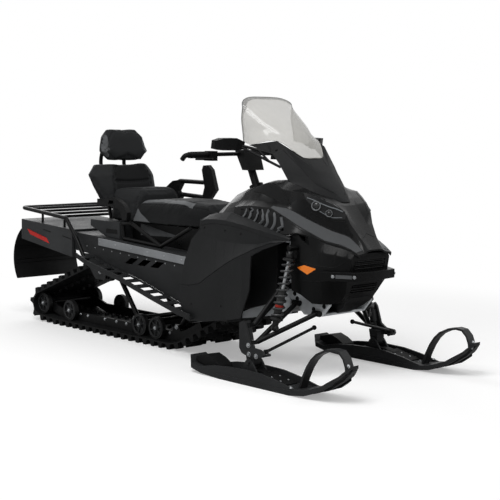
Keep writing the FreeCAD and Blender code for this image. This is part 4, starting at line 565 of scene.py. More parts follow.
def add_box(bm, place, size, turn=None, taper=1.0):
    """Box with its far end along +Z drawn in by a share."""
    turn = turn or Matrix.Identity(3)
    x, y, z = [value / 2 for value in size]
    low = [(-x, -y, -z), (x, -y, -z), (x, y, -z), (-x, y, -z)]
    high = [(corner[0] * taper, corner[1] * taper, z) for corner in low]
    add_loops(bm, [[Vector(place) + turn @ Vector(p) for p in ring] for ring in (low, high)])


def add_bolt(bm, place, normal, radius):
    """Hexagon head on a washer, sunk a little into what it holds."""
    add_lathe(bm, Vector(place) - Vector(normal) * 0.001, normal,
              ((radius * 1.5, 0), (radius * 1.5, 0.0018), (radius * 1.4, 0.0024)), 20)
    add_lathe(bm, place, normal, ((radius, 0.001), (radius, radius * 0.7), (radius * 0.86, radius * 0.85)), 6)


def add_dome(bm, place, normal, radius):
    """Round rivet or button head."""
    profile = [(radius, -0.001)] + [(radius * math.cos(a), radius * 0.45 * math.sin(a))
                                    for a in (math.pi / 2 * i / 4 for i in range(4))]
    profile.append((radius * 0.08, radius * 0.45))
    add_lathe(bm, place, normal, profile, 14)


def spline(points, per_span=8, wrap=False):
    """Smooth line through points (Catmull-Rom)."""
    points = [Vector(point) for point in points]
    count = len(points)
    made = []
    for i in range(count if wrap else count - 1):
        if wrap:
            a, b, c, d = [points[(i + k) % count] for k in (-1, 0, 1, 2)]
        else:
            a, b, c, d = points[max(i - 1, 0)], points[i], points[i + 1], points[min(i + 2, count - 1)]
        for k in range(per_span):
            t = k / per_span
            made.append(0.5 * (2 * b + (c - a) * t + (2 * a - 5 * b + 4 * c - d) * t * t
                               + (3 * b - a - 3 * c + d) * t * t * t))
    if not wrap:
        made.append(points[-1])
    return made


def mirror_points(points):
    return [Vector((p[0], -p[1], p[2])) for p in points]


def put(name, bm, slot_name, body="root", angle=32.0, bevel=0.0):
    """Turns an open mesh into a finished piece that rides on a body."""
    bmesh.ops.recalc_face_normals(bm, faces=bm.faces)
    for face in bm.faces:
        face.smooth = True
    for edge in bm.edges:
        if len(edge.link_faces) == 2 and edge.calc_face_angle(0.0) > math.radians(angle):
            edge.smooth = False
    mesh = bpy.data.meshes.new(name)
    bm.to_mesh(mesh)
    bm.free()
    mesh.materials.append(finishes[slot_name])
    piece = bpy.data.objects.new(name, mesh)
    scene.collection.objects.link(piece)
    if bevel:
        made = piece.modifiers.new("bevel", "BEVEL")
        made.width = bevel
        made.segments = 2
        made.limit_method = "ANGLE"
        made.angle_limit = math.radians(30)
    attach(piece, body)
    print(name, len(mesh.polygons), "faces")
    return piece


print("mesh tools ready")

# %% [markdown]
# ## Cushions
# A cushion starts from its plain solid, remeshed to small even squares and drawn in a little.
# Cloth with a light inner pressure swells it, so the faces crown and the edges round off.
# The swelling is capped, and the sewn channels and piping follow once the shape is final.

# %% Cushion tools


def still_mesh(piece):
    """Applies all modifiers."""
    graph = bpy.context.evaluated_depsgraph_get()
    mesh = bpy.data.meshes.new_from_object(piece.evaluated_get(graph))
    piece.modifiers.clear()
    piece.data = mesh


def swell(node_name, piece_name, cap, voxel, shrink, pressure=4.0):
    """Soft copy of a plain cushion solid."""
    piece = bpy.data.objects.new(piece_name, nodes[node_name].data.copy())
    scene.collection.objects.link(piece)
    piece.data.materials.clear()
    weld = piece.modifiers.new("weld", "WELD")
    weld.merge_threshold = 0.00002
    remesh = piece.modifiers.new("remesh", "REMESH")
    remesh.mode = "VOXEL"
    remesh.voxel_size = voxel
    relax = piece.modifiers.new("relax", "SMOOTH")
    relax.iterations = 6
    still_mesh(piece)
    normals = [vertex.normal.copy() for vertex in piece.data.vertices]
    for vertex, normal in zip(piece.data.vertices, normals):
        vertex.co -= normal * shrink
    start = [vertex.co.copy() for vertex in piece.data.vertices]
    cloth = piece.modifiers.new("cloth", "CLOTH")
    cloth.settings.use_pressure = True
    cloth.settings.uniform_pressure_force = pressure
    cloth.settings.effector_weights.gravity = 0.0
    cloth.settings.quality = 4
    cloth.point_cache.frame_start = 1
    cloth.point_cache.frame_end = 20
    for step in range(1, 21):
        scene.frame_set(step)
    still_mesh(piece)
    scene.frame_set(1)
    for vertex, origin in zip(piece.data.vertices, start):
        move = vertex.co - origin
        if move.length > cap:
            vertex.co = origin + move.normalized() * cap
    # the pad shrinks in the simulation, so it is drawn out again to 1 mm inside its solid's box
    for axis in range(3):
        low, high = [corner[axis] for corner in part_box(node_name)]
        values = [vertex.co[axis] for vertex in piece.data.vertices]
        start_low, start_high = min(values), max(values)
        scale = (high - low - 0.002) / (start_high - start_low)
        for vertex in piece.data.vertices:
            vertex.co[axis] = low + 0.001 + (vertex.co[axis] - start_low) * scale
    finer = piece.modifiers.new("finer", "SUBSURF")
    finer.levels = 1
    finer.render_levels = 1
    still_mesh(piece)
    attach(piece, "root")
    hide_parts(node_name)
    print(piece_name, len(piece.data.polygons), "faces")
    return piece


def nearest(tree, point):
    """Surface point and its outward normal."""
    place, normal, index, distance = tree.find_nearest(Vector(point))
    return place, normal


def surface_tree(piece):
    bm = bmesh.new()
    bm.from_mesh(piece.data)
    tree = BVHTree.FromBMesh(bm)
    bm.free()
    return tree


def lay_on(piece, points, per_span=8, wrap=False):
    """Smooth line drawn onto a piece's surface, as (point, normal) pairs."""
    tree = surface_tree(piece)
    return [nearest(tree, point) for point in spline(points, per_span, wrap)]


def press_lines(piece, lines, depth, width):
    """Sewn channels: sinks the surface along lines of points."""
    points = [point for line in lines for point in line]
    finder = KDTree(len(points))
    for i, point in enumerate(points):
        finder.insert(point, i)
    finder.balance()
    for vertex in piece.data.vertices:
        away = finder.find(vertex.co)[2]
        if away < 2.2 * width:
            vertex.co -= vertex.normal * (depth * math.exp(-(away / width) ** 2))


def sew(name, piece, lines, depth=0.004, width=0.007, radius=0.0018, wrap=False):
    """Channels with a thin welt laid in them."""
    laid = [lay_on(piece, line, 8, wrap) for line in lines]
    press_lines(piece, [[point for point, normal in line] for line in laid], depth, width)
    tree = surface_tree(piece)
    bm = bmesh.new()
    for line in laid:
        path = []
        for point, normal in line:
            place, out = nearest(tree, point)
            path.append(place + out * radius * 0.3)
        add_tube(bm, path, radius, 8, wrap)
    return put(name, bm, "seat_vinyl")


def paint_faces(piece, rule):
    """Gives each face the first finish whose rule holds; the rule takes the middle and the normal."""
    slots = []
    for polygon in piece.data.polygons:
        name = rule(polygon.center, polygon.normal)
        if name not in slots:
            slots.append(name)
            piece.data.materials.append(finishes[name])
        polygon.material_index = slots.index(name)
        polygon.use_smooth = True


print("cushion tools ready")

# %% Driver's seat
driver_seat = swell("driver_seat", "driver_seat_cushion", 0.008, 0.009, 0.004)
paint_faces(driver_seat, lambda middle, normal: "seat_pale" if 0.45 < abs(normal.y) + 0.2 and normal.z > 0.35
            and 0.122 < abs(middle.y) < 0.150 and middle.z > 0.828 and middle.x < 0.08 else
            "seat_pale" if abs(normal.y) > 0.5 and middle.z < 0.785 - (middle.x + 0.352) * 0.476 else
            "seat_side" if abs(normal.y) > 0.6 else "seat_vinyl")
shoulder = [(-0.4, -0.166, 0.832), (-0.2, -0.170, 0.835), (0.0, -0.163, 0.836), (0.17, -0.135, 0.826),
            (0.222, -0.1, 0.79)]
cross_seams = [[(x, -0.118, 0.866), (x, 0.0, 0.874), (x, 0.118, 0.866)] for x in (-0.26, -0.1, 0.06)]
sew("driver_seat_seams", driver_seat, [shoulder, mirror_points(shoulder)] + cross_seams)

# %% Passenger's seat
passenger_seat = swell("passenger_seat", "passenger_seat_cushion", 0.008, 0.009, 0.004)
paint_faces(passenger_seat, lambda middle, normal: "seat_vinyl")
edge_line = [(-0.63, -0.12, 0.918), (-0.52, -0.128, 0.925), (-0.412, -0.125, 0.925), (-0.408, -0.17, 0.86),
             (-0.408, -0.19, 0.78)]
middle_line = [(-0.54, -0.12, 0.92), (-0.54, 0.0, 0.925), (-0.54, 0.12, 0.92)]
sew("passenger_seat_seams", passenger_seat, [edge_line, mirror_points(edge_line), middle_line])

# %% Backrest
backrest = swell("backrest_cushion", "backrest_pad", 0.009, 0.008, 0.005)
paint_faces(backrest, lambda middle, normal: "seat_side" if abs(middle.y) < 0.13 else "seat_vinyl")
wing_line = [(-0.645, -0.140, 0.83), (-0.664, -0.145, 0.92), (-0.690, -0.138, 0.99), (-0.708, -0.10, 1.055)]
waist_line = [(-0.675, -0.13, 0.955), (-0.675, 0.0, 0.95), (-0.675, 0.13, 0.955)]
sew("backrest_seams", backrest, [wing_line, mirror_points(wing_line), waist_line], 0.008, 0.011)

# %% Headrest
headrest = swell("headrest", "headrest_pad", 0.009, 0.007, 0.004)
paint_faces(headrest, lambda middle, normal: "seat_pale" if abs(middle.y) > 0.135 and 0.35 < abs(normal.y) < 0.9
            and normal.x > 0.3 and 1.10 < middle.z < 1.24 else "seat_vinyl")
rim_line = [(-0.712, -0.10, 1.085), (-0.722, -0.146, 1.135), (-0.742, -0.126, 1.222), (-0.755, -0.085, 1.268),
            (-0.757, 0.0, 1.272), (-0.755, 0.085, 1.268), (-0.742, 0.126, 1.222), (-0.722, 0.146, 1.135),
            (-0.712, 0.10, 1.085)]
sew("headrest_seams", headrest, [rim_line])

# %% [markdown]
# ## Finding the surface
# Small parts are placed by two numbers and then pressed onto the surface that carries them.
# A ray along one axis finds that surface, and its normal turns the part the right way.

# %% Surface finder
trees = {}


def tree_of(*names):
    """One search tree over the named nodes."""
    if names not in trees:
        bm = bmesh.new()
        for name in names:
            bm.from_mesh(nodes[name].data)
        trees[names] = BVHTree.FromBMesh(bm)
        bm.free()
    return trees[names]


def from_right(x, z, *names):
    """Surface point and normal seen from the right side."""
    hit = tree_of(*names).ray_cast(Vector((x, -2.0, z)), Vector((0, 1, 0)))
    return hit[0], hit[1]


def from_above(x, y, *names):
    hit = tree_of(*names).ray_cast(Vector((x, y, 3.0)), Vector((0, 0, -1)))
    return hit[0], hit[1]


def from_front(y, z, *names):
    hit = tree_of(*names).ray_cast(Vector((3.0, y, z)), Vector((-1, 0, 0)))
    return hit[0], hit[1]


def flip(vector, side):
    """Mirrors a vector to the left side when the side is -1."""
    return Vector((vector.x, vector.y * side, vector.z))


def add_sheet(bm, rows, thickness):
    """Thin plate through rows of (point, normal) pairs, set out from the surface by its thickness."""
    outer = [[bm.verts.new(point + normal * thickness) for point, normal in row] for row in rows]
    inner = [[bm.verts.new(point - normal * thickness * 0.5) for point, normal in row] for row in rows]
    for grid in (outer, inner):
        for low, high in zip(grid, grid[1:]):
            for i in range(len(low) - 1):
                bm.faces.new((low[i], low[i + 1], high[i + 1], high[i]))
    rim_out = outer[0] + [row[-1] for row in outer[1:]] + outer[-1][-2::-1] + [row[0] for row in outer[-2:0:-1]]
    rim_in = inner[0] + [row[-1] for row in inner[1:]] + inner[-1][-2::-1] + [row[0] for row in inner[-2:0:-1]]
    for i in range(len(rim_out)):
        j = (i + 1) % len(rim_out)
        bm.faces.new((rim_out[i], rim_out[j], rim_in[j], rim_in[i]))


def press(points, *names):
    """Nearest surface points and normals on the named nodes."""
    tree = tree_of(*names)
    pairs = []
    for point in points:
        place, normal, index, distance = tree.find_nearest(Vector(point))
        pairs.append((place, normal))
    return pairs


print("surface finder ready")

# %% [markdown]
# ## Front shock absorbers
# The solids are plain rods. Here each becomes a damper body, a polished rod, two spring seats and a real helical
# spring, all on the same line between the lower arm and the top beam.

# %% Front shocks
shock_low = Vector((0.985, -0.368, 0.254))
shock_high = Vector((1.035, -0.300, 0.679))


def helix(low, high, radius, turns, per_turn=22):
    """Points of a coil around the line from low to high."""
    axis = high - low
    rotation = axes_of(axis)
    count = int(turns * per_turn)
    return [low + axis * (i / count) + rotation @ Vector((radius * math.cos(i / per_turn * 2 * math.pi),
                                                          radius * math.sin(i / per_turn * 2 * math.pi), 0))
            for i in range(count + 1)]


dampers, springs, marks, rods_bm = bmesh.new(), bmesh.new(), bmesh.new(), bmesh.new()
for side in (1, -1):
    low, high = flip(shock_low, side), flip(shock_high, side)
    length = (high - low).length
    along = high - low
    add_lathe(dampers, low, along, ((0.012, 0.004), (0.017, 0.012), (0.017, 0.05), (0.021, 0.06),
                                    (0.021, 0.22), (0.019, 0.225)), 28)
    for share, radius in ((0.16, 0.035), (0.88, 0.034)):
        add_lathe(dampers, low.lerp(high, share), along, ((radius - 0.005, -0.008), (radius, -0.005),
                                                          (radius, 0.004), (radius - 0.006, 0.009)), 32)
    add_lathe(dampers, low.lerp(high, 0.90), along, ((0.018, 0.0), (0.020, 0.006), (0.020, 0.022),
                                                     (0.014, 0.035), (0.010, 0.036)), 24)
    add_rod(rods_bm, low.lerp(high, 0.48), low.lerp(high, 0.96), 0.009, 18)
    add_tube(springs, helix(low.lerp(high, 0.175), low.lerp(high, 0.865), 0.0285, 9.0), 0.0050, 8)
    add_lathe(marks, low.lerp(high, 0.30), along, ((0.0213, 0.0), (0.0222, 0.001), (0.0222, 0.012),
                                                   (0.0213, 0.013)), 28)
    for share in (0.045, 0.955):
        add_rod(dampers, low.lerp(high, share) + Vector((0.02, 0, 0)), low.lerp(high, share) - Vector((0.02, 0, 0)),
                0.014, 20)
dampers_piece = put("front_dampers", dampers, "spring_black")
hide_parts("front_shocks")
put("front_springs", springs, "spring_steel")
put("damper_rods", rods_bm, "bolt_steel")
put("spring_marks", marks, "spring_red")

# %% [markdown]
# ## Track carriage
# Each wheel gets a web with ribs, a raised lip, a hub cap and its bolt. Steel bolts hold the slide rails and arms.

# %% Wheels
wheel_centres = [(-1.0546, 0.105, 0.066), (-0.3284, 0.105, 0.066), (-0.1711, 0.105, 0.066),
                 (-1.349, 0.119, 0.067), (-0.640, 0.400, 0.063)]
ribs, hubs = bmesh.new(), bmesh.new()
for side in (1, -1):
    for x, z, radius in wheel_centres:
        out = Vector((0, -side, 0))
        face_y = -0.218 * side
        lip = [(x + math.cos(a) * radius * 0.80, face_y + out.y * 0.0005, z + math.sin(a) * radius * 0.80)
               for a in (2 * math.pi * i / 40 for i in range(40))]
        add_tube(ribs, lip, 0.0028, 6, True)
        add_lathe(ribs, (x, face_y, z), out, ((0.021, -0.012), (0.021, 0.002), (0.017, 0.005), (0.013, 0.005)), 24)
        for k in range(6):
            angle = math.pi / 3 * k + 0.3
            turn = Matrix.Rotation(-angle, 3, "Y")
            middle = Vector((x, face_y - out.y * 0.007, z)) + turn @ Vector((radius * 0.52, 0, 0))
            add_box(ribs, middle, (radius * 0.56, 0.008, 0.006), turn)
        add_bolt(hubs, Vector((x, face_y + out.y * 0.005, z)), out, 0.0075)
put("wheel_webs", ribs, "wheel_web")
put("wheel_bolts", hubs, "bolt_steel")

# %% Rail fasteners and slider strips
fasteners = bmesh.new()
for side in (1, -1):
    for x in (-1.15, -0.98, -0.90, -0.72, -0.60, -0.50, -0.24, -0.08):
        point, normal = from_right(x, 0.085, "slide_rails")
        if point is not None and point.y < -0.15:
            add_bolt(fasteners, flip(point, side), flip(normal, side), 0.0065)
    for x, z in ((-0.42, 0.125), (-0.02, 0.125), (-0.64, 0.400)):
        point, normal = from_right(x, z, "slide_rails", "skid_arms", "tunnel")
        if point is not None:
            add_bolt(fasteners, flip(point, side), flip(normal, side), 0.009)
put("carriage_bolts", fasteners, "bolt_steel")

# %% [markdown]
# ## Hood
# A grey band without lettering follows the hood's side seam, round lamps with bright rims look out of the eye
# openings, and slim fins stand between the side louvres.

# %% Hood band
band_high = [(0.881, -0.256, 0.909), (0.930, -0.239, 0.892), (0.985, -0.215, 0.867), (1.040, -0.192, 0.838),
             (1.107, -0.158, 0.806), (1.166, -0.127, 0.779), (1.222, -0.097, 0.761), (1.250, -0.086, 0.750),
             (1.300, -0.080, 0.712), (1.340, -0.080, 0.680)]
band_low = [(0.881, -0.304, 0.887), (0.930, -0.291, 0.861), (0.985, -0.273, 0.830), (1.040, -0.252, 0.796),
            (1.107, -0.222, 0.760), (1.166, -0.193, 0.727), (1.222, -0.169, 0.715), (1.250, -0.157, 0.709),
            (1.300, -0.140, 0.692), (1.340, -0.130, 0.671)]
band = bmesh.new()
for side in (1, -1):
    rows = []
    for i in range(len(band_high) - 1):
        for k in range(4):
            t = k / 4
            high = Vector(band_high[i]).lerp(Vector(band_high[i + 1]), t)
            low = Vector(band_low[i]).lerp(Vector(band_low[i + 1]), t)
            # the rear end is cut to a point
            cut = max(0.0, 1 - (i * 4 + k) / 5)
            edge = [high.lerp(low, 0.07 + 0.50 * cut + (0.86 - 0.50 * cut) * s / 4) for s in range(5)]
            rows.append([(flip(point, side), flip(normal, side)) for point, normal in press(edge, "hood")])
    add_sheet(band, rows, 0.0012)
put("hood_band", band, "stripe_grey", angle=50)

# %% Lamps
lamp_wall = [(1.010, -0.208), (1.040, -0.199), (1.107, -0.164), (1.166, -0.133), (1.230, -0.098)]


def wall_y(x):
    """Depth of the lamp wall at a length."""
    for (x0, y0), (x1, y1) in zip(lamp_wall, lamp_wall[1:]):
        if x <= x1:
            return y0 + (y1 - y0) * (x - x0) / (x1 - x0)
    return lamp_wall[-1][1]


rims, painted_glow_lines, lenses = bmesh.new(), bmesh.new(), bmesh.new()
for side in (1, -1):
    for x, z, radius in ((1.088, 0.905, 0.0235), (1.150, 0.868, 0.0175)):
        place = flip(Vector((x, wall_y(x) + 0.001, z)), side)
        out = flip(Vector((0.47, -0.88, 0.05)).normalized(), side)
        add_lathe(rims, place, out, ((radius, -0.002), (radius * 1.1, 0.004), (radius * 1.04, 0.008),
                                     (radius * 0.88, 0.007), (radius * 0.82, 0.002), (radius * 0.78, -0.001)), 36)
        add_lathe(lenses, place, out, ((radius * 0.80, 0.000), (radius * 0.76, 0.004), (radius * 0.55, 0.008),
                                       (radius * 0.28, 0.0105), (radius * 0.05, 0.011)), 30)
    # Pale lines above and below the lamps: a painted glow, not a light.
    line = [(1.045, 0.945), (1.075, 0.935), (1.11, 0.918), (1.15, 0.902), (1.19, 0.890), (1.215, 0.878)]
    add_tube(painted_glow_lines, [flip(Vector((x, wall_y(x) - 0.001, z)), side) for x, z in line], 0.0030, 8)
    foot = [(1.105, 0.878), (1.14, 0.857), (1.17, 0.846), (1.212, 0.848)]
    add_tube(painted_glow_lines, [flip(Vector((x, wall_y(x) - 0.001, z)), side) for x, z in foot], 0.0022, 8)
put("lamp_rims", rims, "rim_grey")
put("lamp_lenses", lenses, "lens_clear")
put("lamp_lines", painted_glow_lines, "lamp_painted_glow")

# %% Louvre fins
louvre_high = [(0.690, 0.905), (0.760, 0.885), (0.810, 0.882), (0.881, 0.878), (0.930, 0.852), (0.978, 0.826)]
louvre_low = [(0.700, 0.836), (0.760, 0.826), (0.810, 0.810), (0.881, 0.790), (0.930, 0.774), (0.975, 0.766)]


def level_at(line, x):
    """Height of a line of (x, z) points at a length."""
    for (x0, z0), (x1, z1) in zip(line, line[1:]):
        if x <= x1:
            return z0 + (z1 - z0) * (x - x0) / (x1 - x0)
    return line[-1][1]


# The near-black field laid over the louvre openings is painted shade.
field, fins = bmesh.new(), bmesh.new()
for side in (1, -1):
    rows = []
    for k in range(25):
        x = 0.694 + 0.278 * k / 24
        high, low = level_at(louvre_high, x), level_at(louvre_low, x)
        row = []
        for s in range(6):
            y = -0.27 - 0.075 * s / 5
            pairs = press([(x, y - 0.02, high + (low - high) * s / 5)], "hood")
            row.append((flip(pairs[0][0], side), flip(Vector((0.15, -0.9, 0.4)).normalized(), side)))
        rows.append(row)
    add_sheet(field, rows, 0.0012)
    # The fins are the real slats; their pale grey is a painted highlight on their lit edges.
    for i in range(7):
        path = []
        for k in range(11):
            share = k / 10
            x = 0.706 + 0.040 * i + 0.012 * share + 0.016 * math.sin(share * math.pi)
            high, low = level_at(louvre_high, x), level_at(louvre_low, x)
            point, normal = press([(x, -0.29 - 0.075 * share, high + (low - high) * (0.04 + 0.92 * share))],
                                  "hood")[0]
            path.append(flip(point + Vector((0, -0.003, 0.001)), side))
        add_tube(fins, path, 0.0075, 10, False, 0.55)
put("louvre_painted_shade", field, "control_black", angle=60)
put("louvre_fins", fins, "grey_plate_and_fin_highlight")

# %% [markdown]
# ## Seams
# Dark joints between the mouldings are drawn as thin cords pressed half into the surface.

# %% Body seams
seam_lines = {
    "windshield_cowl": [
        [(0.833, -0.164, 1.186), (0.895, -0.144, 1.128), (0.955, -0.122, 1.071), (1.010, -0.104, 1.019),
         (1.060, -0.067, 0.987), (1.105, -0.030, 0.956)],
        [(0.910, -0.060, 1.136), (0.952, -0.058, 1.100)],
    ],
    "hood": [
        [(0.742, -0.248, 0.991), (0.816, -0.230, 1.013), (0.874, -0.221, 0.988), (0.911, -0.214, 0.952),
         (0.930, -0.212, 0.906)],
        [(0.712, -0.257, 0.963), (0.773, -0.248, 0.954), (0.831, -0.239, 0.935), (0.883, -0.232, 0.915)],
        [(1.016, -0.202, 0.940), (1.043, -0.193, 0.894), (1.091, -0.168, 0.853), (1.157, -0.134, 0.833),
         (1.223, -0.099, 0.829)],
        [(1.036, -0.194, 0.857), (1.099, -0.162, 0.817), (1.179, -0.120, 0.777), (1.246, -0.087, 0.752),
         (1.300, -0.047, 0.748), (1.285, -0.001, 0.768)],
        [(1.000, -0.268, 0.816), (1.064, -0.246, 0.774), (1.125, -0.213, 0.744), (1.198, -0.179, 0.720),
         (1.257, -0.146, 0.711), (1.300, -0.139, 0.683), (1.333, -0.131, 0.666)],
        [(1.018, -0.206, 0.962), (1.060, -0.170, 0.962), (1.120, -0.140, 0.940), (1.180, -0.105, 0.905),
         (1.215, -0.080, 0.880)],
    ],
    "nose": [
        [(1.030, -0.264, 0.625), (1.090, -0.252, 0.615), (1.161, -0.229, 0.603), (1.240, -0.187, 0.600),
         (1.294, -0.156, 0.638)],
        [(1.150, -0.217, 0.673), (1.158, -0.223, 0.639), (1.166, -0.227, 0.603)],
        [(1.059, -0.258, 0.520), (1.120, -0.243, 0.522), (1.190, -0.215, 0.524), (1.270, -0.165, 0.520)],
    ],
    "side_panel_right": [
        [(0.430, -0.390, 0.770), (0.551, -0.388, 0.787), (0.742, -0.382, 0.775), (0.905, -0.358, 0.741),
         (1.000, -0.320, 0.728)],
    ],
}
seams = bmesh.new()
for carrier, lines in seam_lines.items():
    for line in lines:
        pairs = press(spline(line, 8), carrier)
        for side in (1, -1):
            add_tube(seams, [flip(point, side) for point, normal in pairs], 0.0016, 6)
wedge_line = [(0.730, -0.182, 1.217), (0.765, -0.196, 1.186), (0.795, -0.203, 1.152)]
wedge = press(spline(wedge_line, 8), "windshield_cowl")
for side in (1, -1):
    add_tube(seams, [flip(point, side) for point, normal in wedge], 0.005, 8, False, 0.4)
put("body_seams", seams, "control_black")

# %% [markdown]
# ## Nose and bumper
# The number-plate place on the bumper is a bare plate with two bolts. Slats close the grille.

# %% Bumper plate and grille bars
plate, plate_bolts, slats = bmesh.new(), bmesh.new(), bmesh.new()
for side in (1, -1):
    path = [(1.262, -0.2055), (1.285, -0.1915), (1.310, -0.1775), (1.335, -0.1625)]
    rows = [press([(x, y, z) for z in (0.546, 0.552, 0.558, 0.564)], "front_bumper") for x, y in path]
    add_sheet(plate, [[(flip(point, side), flip(Vector((0.52, -0.85, 0)), side)) for point, normal in row]
                      for row in rows], 0.002)
    for x, y in ((1.250, -0.214), (1.346, -0.1563)):
        point, normal = press([(x, y, 0.555)], "front_bumper")[0]
        add_bolt(plate_bolts, flip(point, side), flip(normal, side), 0.006)
put("bumper_plates", plate, "grey_plate_and_fin_highlight")
put("bumper_bolts", plate_bolts, "bolt_steel")
for z in (0.628, 0.609, 0.590, 0.495, 0.469):
    half = 0.112 if z > 0.55 else 0.092
    path = []
    for k in range(13):
        point, normal = from_front(-half + half * k / 6, z + 0.011, "nose")
        if point is not None and point.x > 1.1:
            path.append(Vector((point.x - 0.006, point.y, z)))
    if len(path) > 5:
        add_tube(slats, path, 0.0028, 8)
put("grille_bars", slats, "control_black")

# %% [markdown]
# ## Screen, mirrors and controls
# The real screen is one blown sheet with no facets, a darker edge and screws at its foot. The solid could be bevelled,
# but its flat facets would still catch the light. So the sheet is drawn again through four lines that cross it, each
# smoothed, and then smoothed once more from foot to top. It bulges a little further forward than the solid.

# %% Smooth screen: four lines across it, from the right edge to the middle
screen_lines = [
    [(0.558, -0.196, 1.227), (0.640, -0.214, 1.212), (0.778, -0.157, 1.233), (0.890, -0.080, 1.150),
     (0.905, 0, 1.143)],
    [(0.549, -0.195, 1.284), (0.600, -0.193, 1.286), (0.715, -0.152, 1.278), (0.812, -0.085, 1.240),
     (0.836, 0, 1.234)],
    [(0.536, -0.192, 1.350), (0.575, -0.189, 1.352), (0.672, -0.152, 1.330), (0.722, -0.094, 1.320),
     (0.742, 0, 1.317)],
    [(0.541, -0.191, 1.412), (0.534, -0.186, 1.439), (0.520, -0.152, 1.458), (0.510, -0.098, 1.468),
     (0.506, 0, 1.470)]]
across = [spline(half + [(x, -y, z) for x, y, z in reversed(half[:-1])], 5) for half in screen_lines]
columns = [spline([line[k] for line in across], 7) for k in range(len(across[0]))]
print("screen lines", len(columns), "by", len(columns[0]), "points")

# %% The sheet itself
screen_rows = []
for r in range(len(columns[0])):
    row = []
    for k in range(len(columns)):
        before, after = columns[max(k - 1, 0)][r], columns[min(k + 1, len(columns) - 1)][r]
        below, above = columns[k][max(r - 1, 0)], columns[k][min(r + 1, len(columns[0]) - 1)]
        out = (after - before).cross(above - below).normalized()
        row.append((columns[k][r], out if out.x > 0 else -out))
    screen_rows.append(row)
shield = bmesh.new()
add_sheet(shield, screen_rows, 0.0025)
width = len(screen_rows[0])
sheet_faces = [(r * width + k, r * width + k + 1, (r + 1) * width + k + 1, (r + 1) * width + k)
               for r in range(len(screen_rows) - 1) for k in range(width - 1)]
middle_face = BVHTree.FromPolygons([pair[0] for row in screen_rows for pair in row], sheet_faces)
screen_piece = put("screen_sheet", shield, "screen", angle=60)
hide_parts("windshield")

# %% Darker band and moulded rim along the edge
edge_line = ([row[0][0] for row in screen_rows] + [pair[0] for pair in screen_rows[-1][1:]]
             + [row[-1][0] for row in reversed(screen_rows[:-1])])
inward = Vector((0.64, 0.0, 1.33))   # the band runs from the edge towards this point
band_width, band_lift = 0.026, 0.0029
band = bmesh.new()
rows = []
for point in edge_line:
    inner = point + (inward - point).normalized() * band_width
    row = []
    for s in range(4):
        place, normal, index, distance = middle_face.find_nearest(point.lerp(inner, s / 3))
        normal = normal if normal.x > 0 else -normal
        row.append((place + normal * band_lift, normal))
    rows.append(row)
add_sheet(band, rows, 0.0006)
put("screen_band", band, "screen_band", angle=60)
rim = bmesh.new()
add_tube(rim, edge_line, 0.0028, 8)
put("screen_rim", rim, "rim_grey")

# %% Screws at the foot of the screen
screws = bmesh.new()
for side in (1, -1):
    for x, z in ((0.66, 1.188), (0.80, 1.185), (0.86, 1.06)):
        point, normal = from_right(x, z, "windshield_cowl")
        if point is not None:
            add_bolt(screws, flip(point, side), flip(normal, side), 0.006)
put("screen_screws", screws, "control_black")

# %% Mirror glass
glass = bmesh.new()
rear_low = [Vector((0.5950, -0.285, 1.192)), Vector((0.5715, -0.324, 1.188)), Vector((0.5480, -0.384, 1.188)),
            Vector((0.5400, -0.408, 1.195))]
rear_high = [Vector((0.6040, -0.285, 1.226)), Vector((0.5835, -0.324, 1.241)), Vector((0.5595, -0.384, 1.239)),
             Vector((0.5475, -0.408, 1.227))]
for side in (1, -1):
    rows = []
    for low, high in zip(rear_low, rear_high):
        rows.append([(flip(low.lerp(high, s / 3), side), Vector((-0.92, -0.38 * side, 0.1))) for s in range(4)])
    add_sheet(glass, rows, 0.0015)
put("mirror_glass", glass, "mirror_glass")

# %% Grips and control blocks
bar_start, bar_end = Vector((0.3752, -0.120, 1.1524)), Vector((0.3412, -0.405, 1.1484))
grips, buttons = bmesh.new(), bmesh.new()
for side in (1, -1):
    low, high = flip(bar_start, side), flip(bar_end, side)
    for k in range(15):
        share = 0.60 + 0.345 * k / 14
        place = low.lerp(high, share)
        add_lathe(grips, place, high - low, ((0.0172, -0.0022), (0.0186, -0.001), (0.0186, 0.001),
                                             (0.0172, 0.0022)), 20)
    for k in range(3):
        place = low.lerp(high, 0.50) + Vector((-0.026, 0.012 * (k - 1), 0.012))
        add_lathe(buttons, place, (-1, 0, 0.3), ((0.0048, -0.002), (0.0048, 0.004), (0.0036, 0.0055)), 14)
put("grip_ribs", grips, "control_black", "steering")
put("bar_buttons", buttons, "bolt_steel", "steering")
clamp = bmesh.new()
for x in (0.352, 0.398):
    for y in (-0.03, 0.03):
        point, normal = from_above(x, y, "handlebar")
        if point is not None:
            add_bolt(clamp, point, normal, 0.005)
put("bar_bolts", clamp, "bolt_steel", "steering")

# %% [markdown]
# ## Tunnel and tail
# Rivets line the tunnel. Two slim slots in the tail cover and steps in the passenger base are drawn as thin near-black
# sheets: painted shade for their openings.

# %% Rivets and trim bolts
rivets = bmesh.new()
for side in (1, -1):
    for i in range(16):
        x = 0.33 - 0.085 * i
        point, normal = from_right(x, 0.505 + (0.10 - x) * 0.052, "tunnel")
        if point is not None:
            add_dome(rivets, flip(point, side), flip(normal, side), 0.0042)
    for i in range(7):
        x = 0.30 - 0.155 * i
        point, normal = from_right(x, 0.538 + (0.30 - x) * 0.054, "side_trims")
        if point is not None:
            add_dome(rivets, flip(point, side), flip(normal, side), 0.0055)
put("tunnel_rivets", rivets, "bolt_steel")

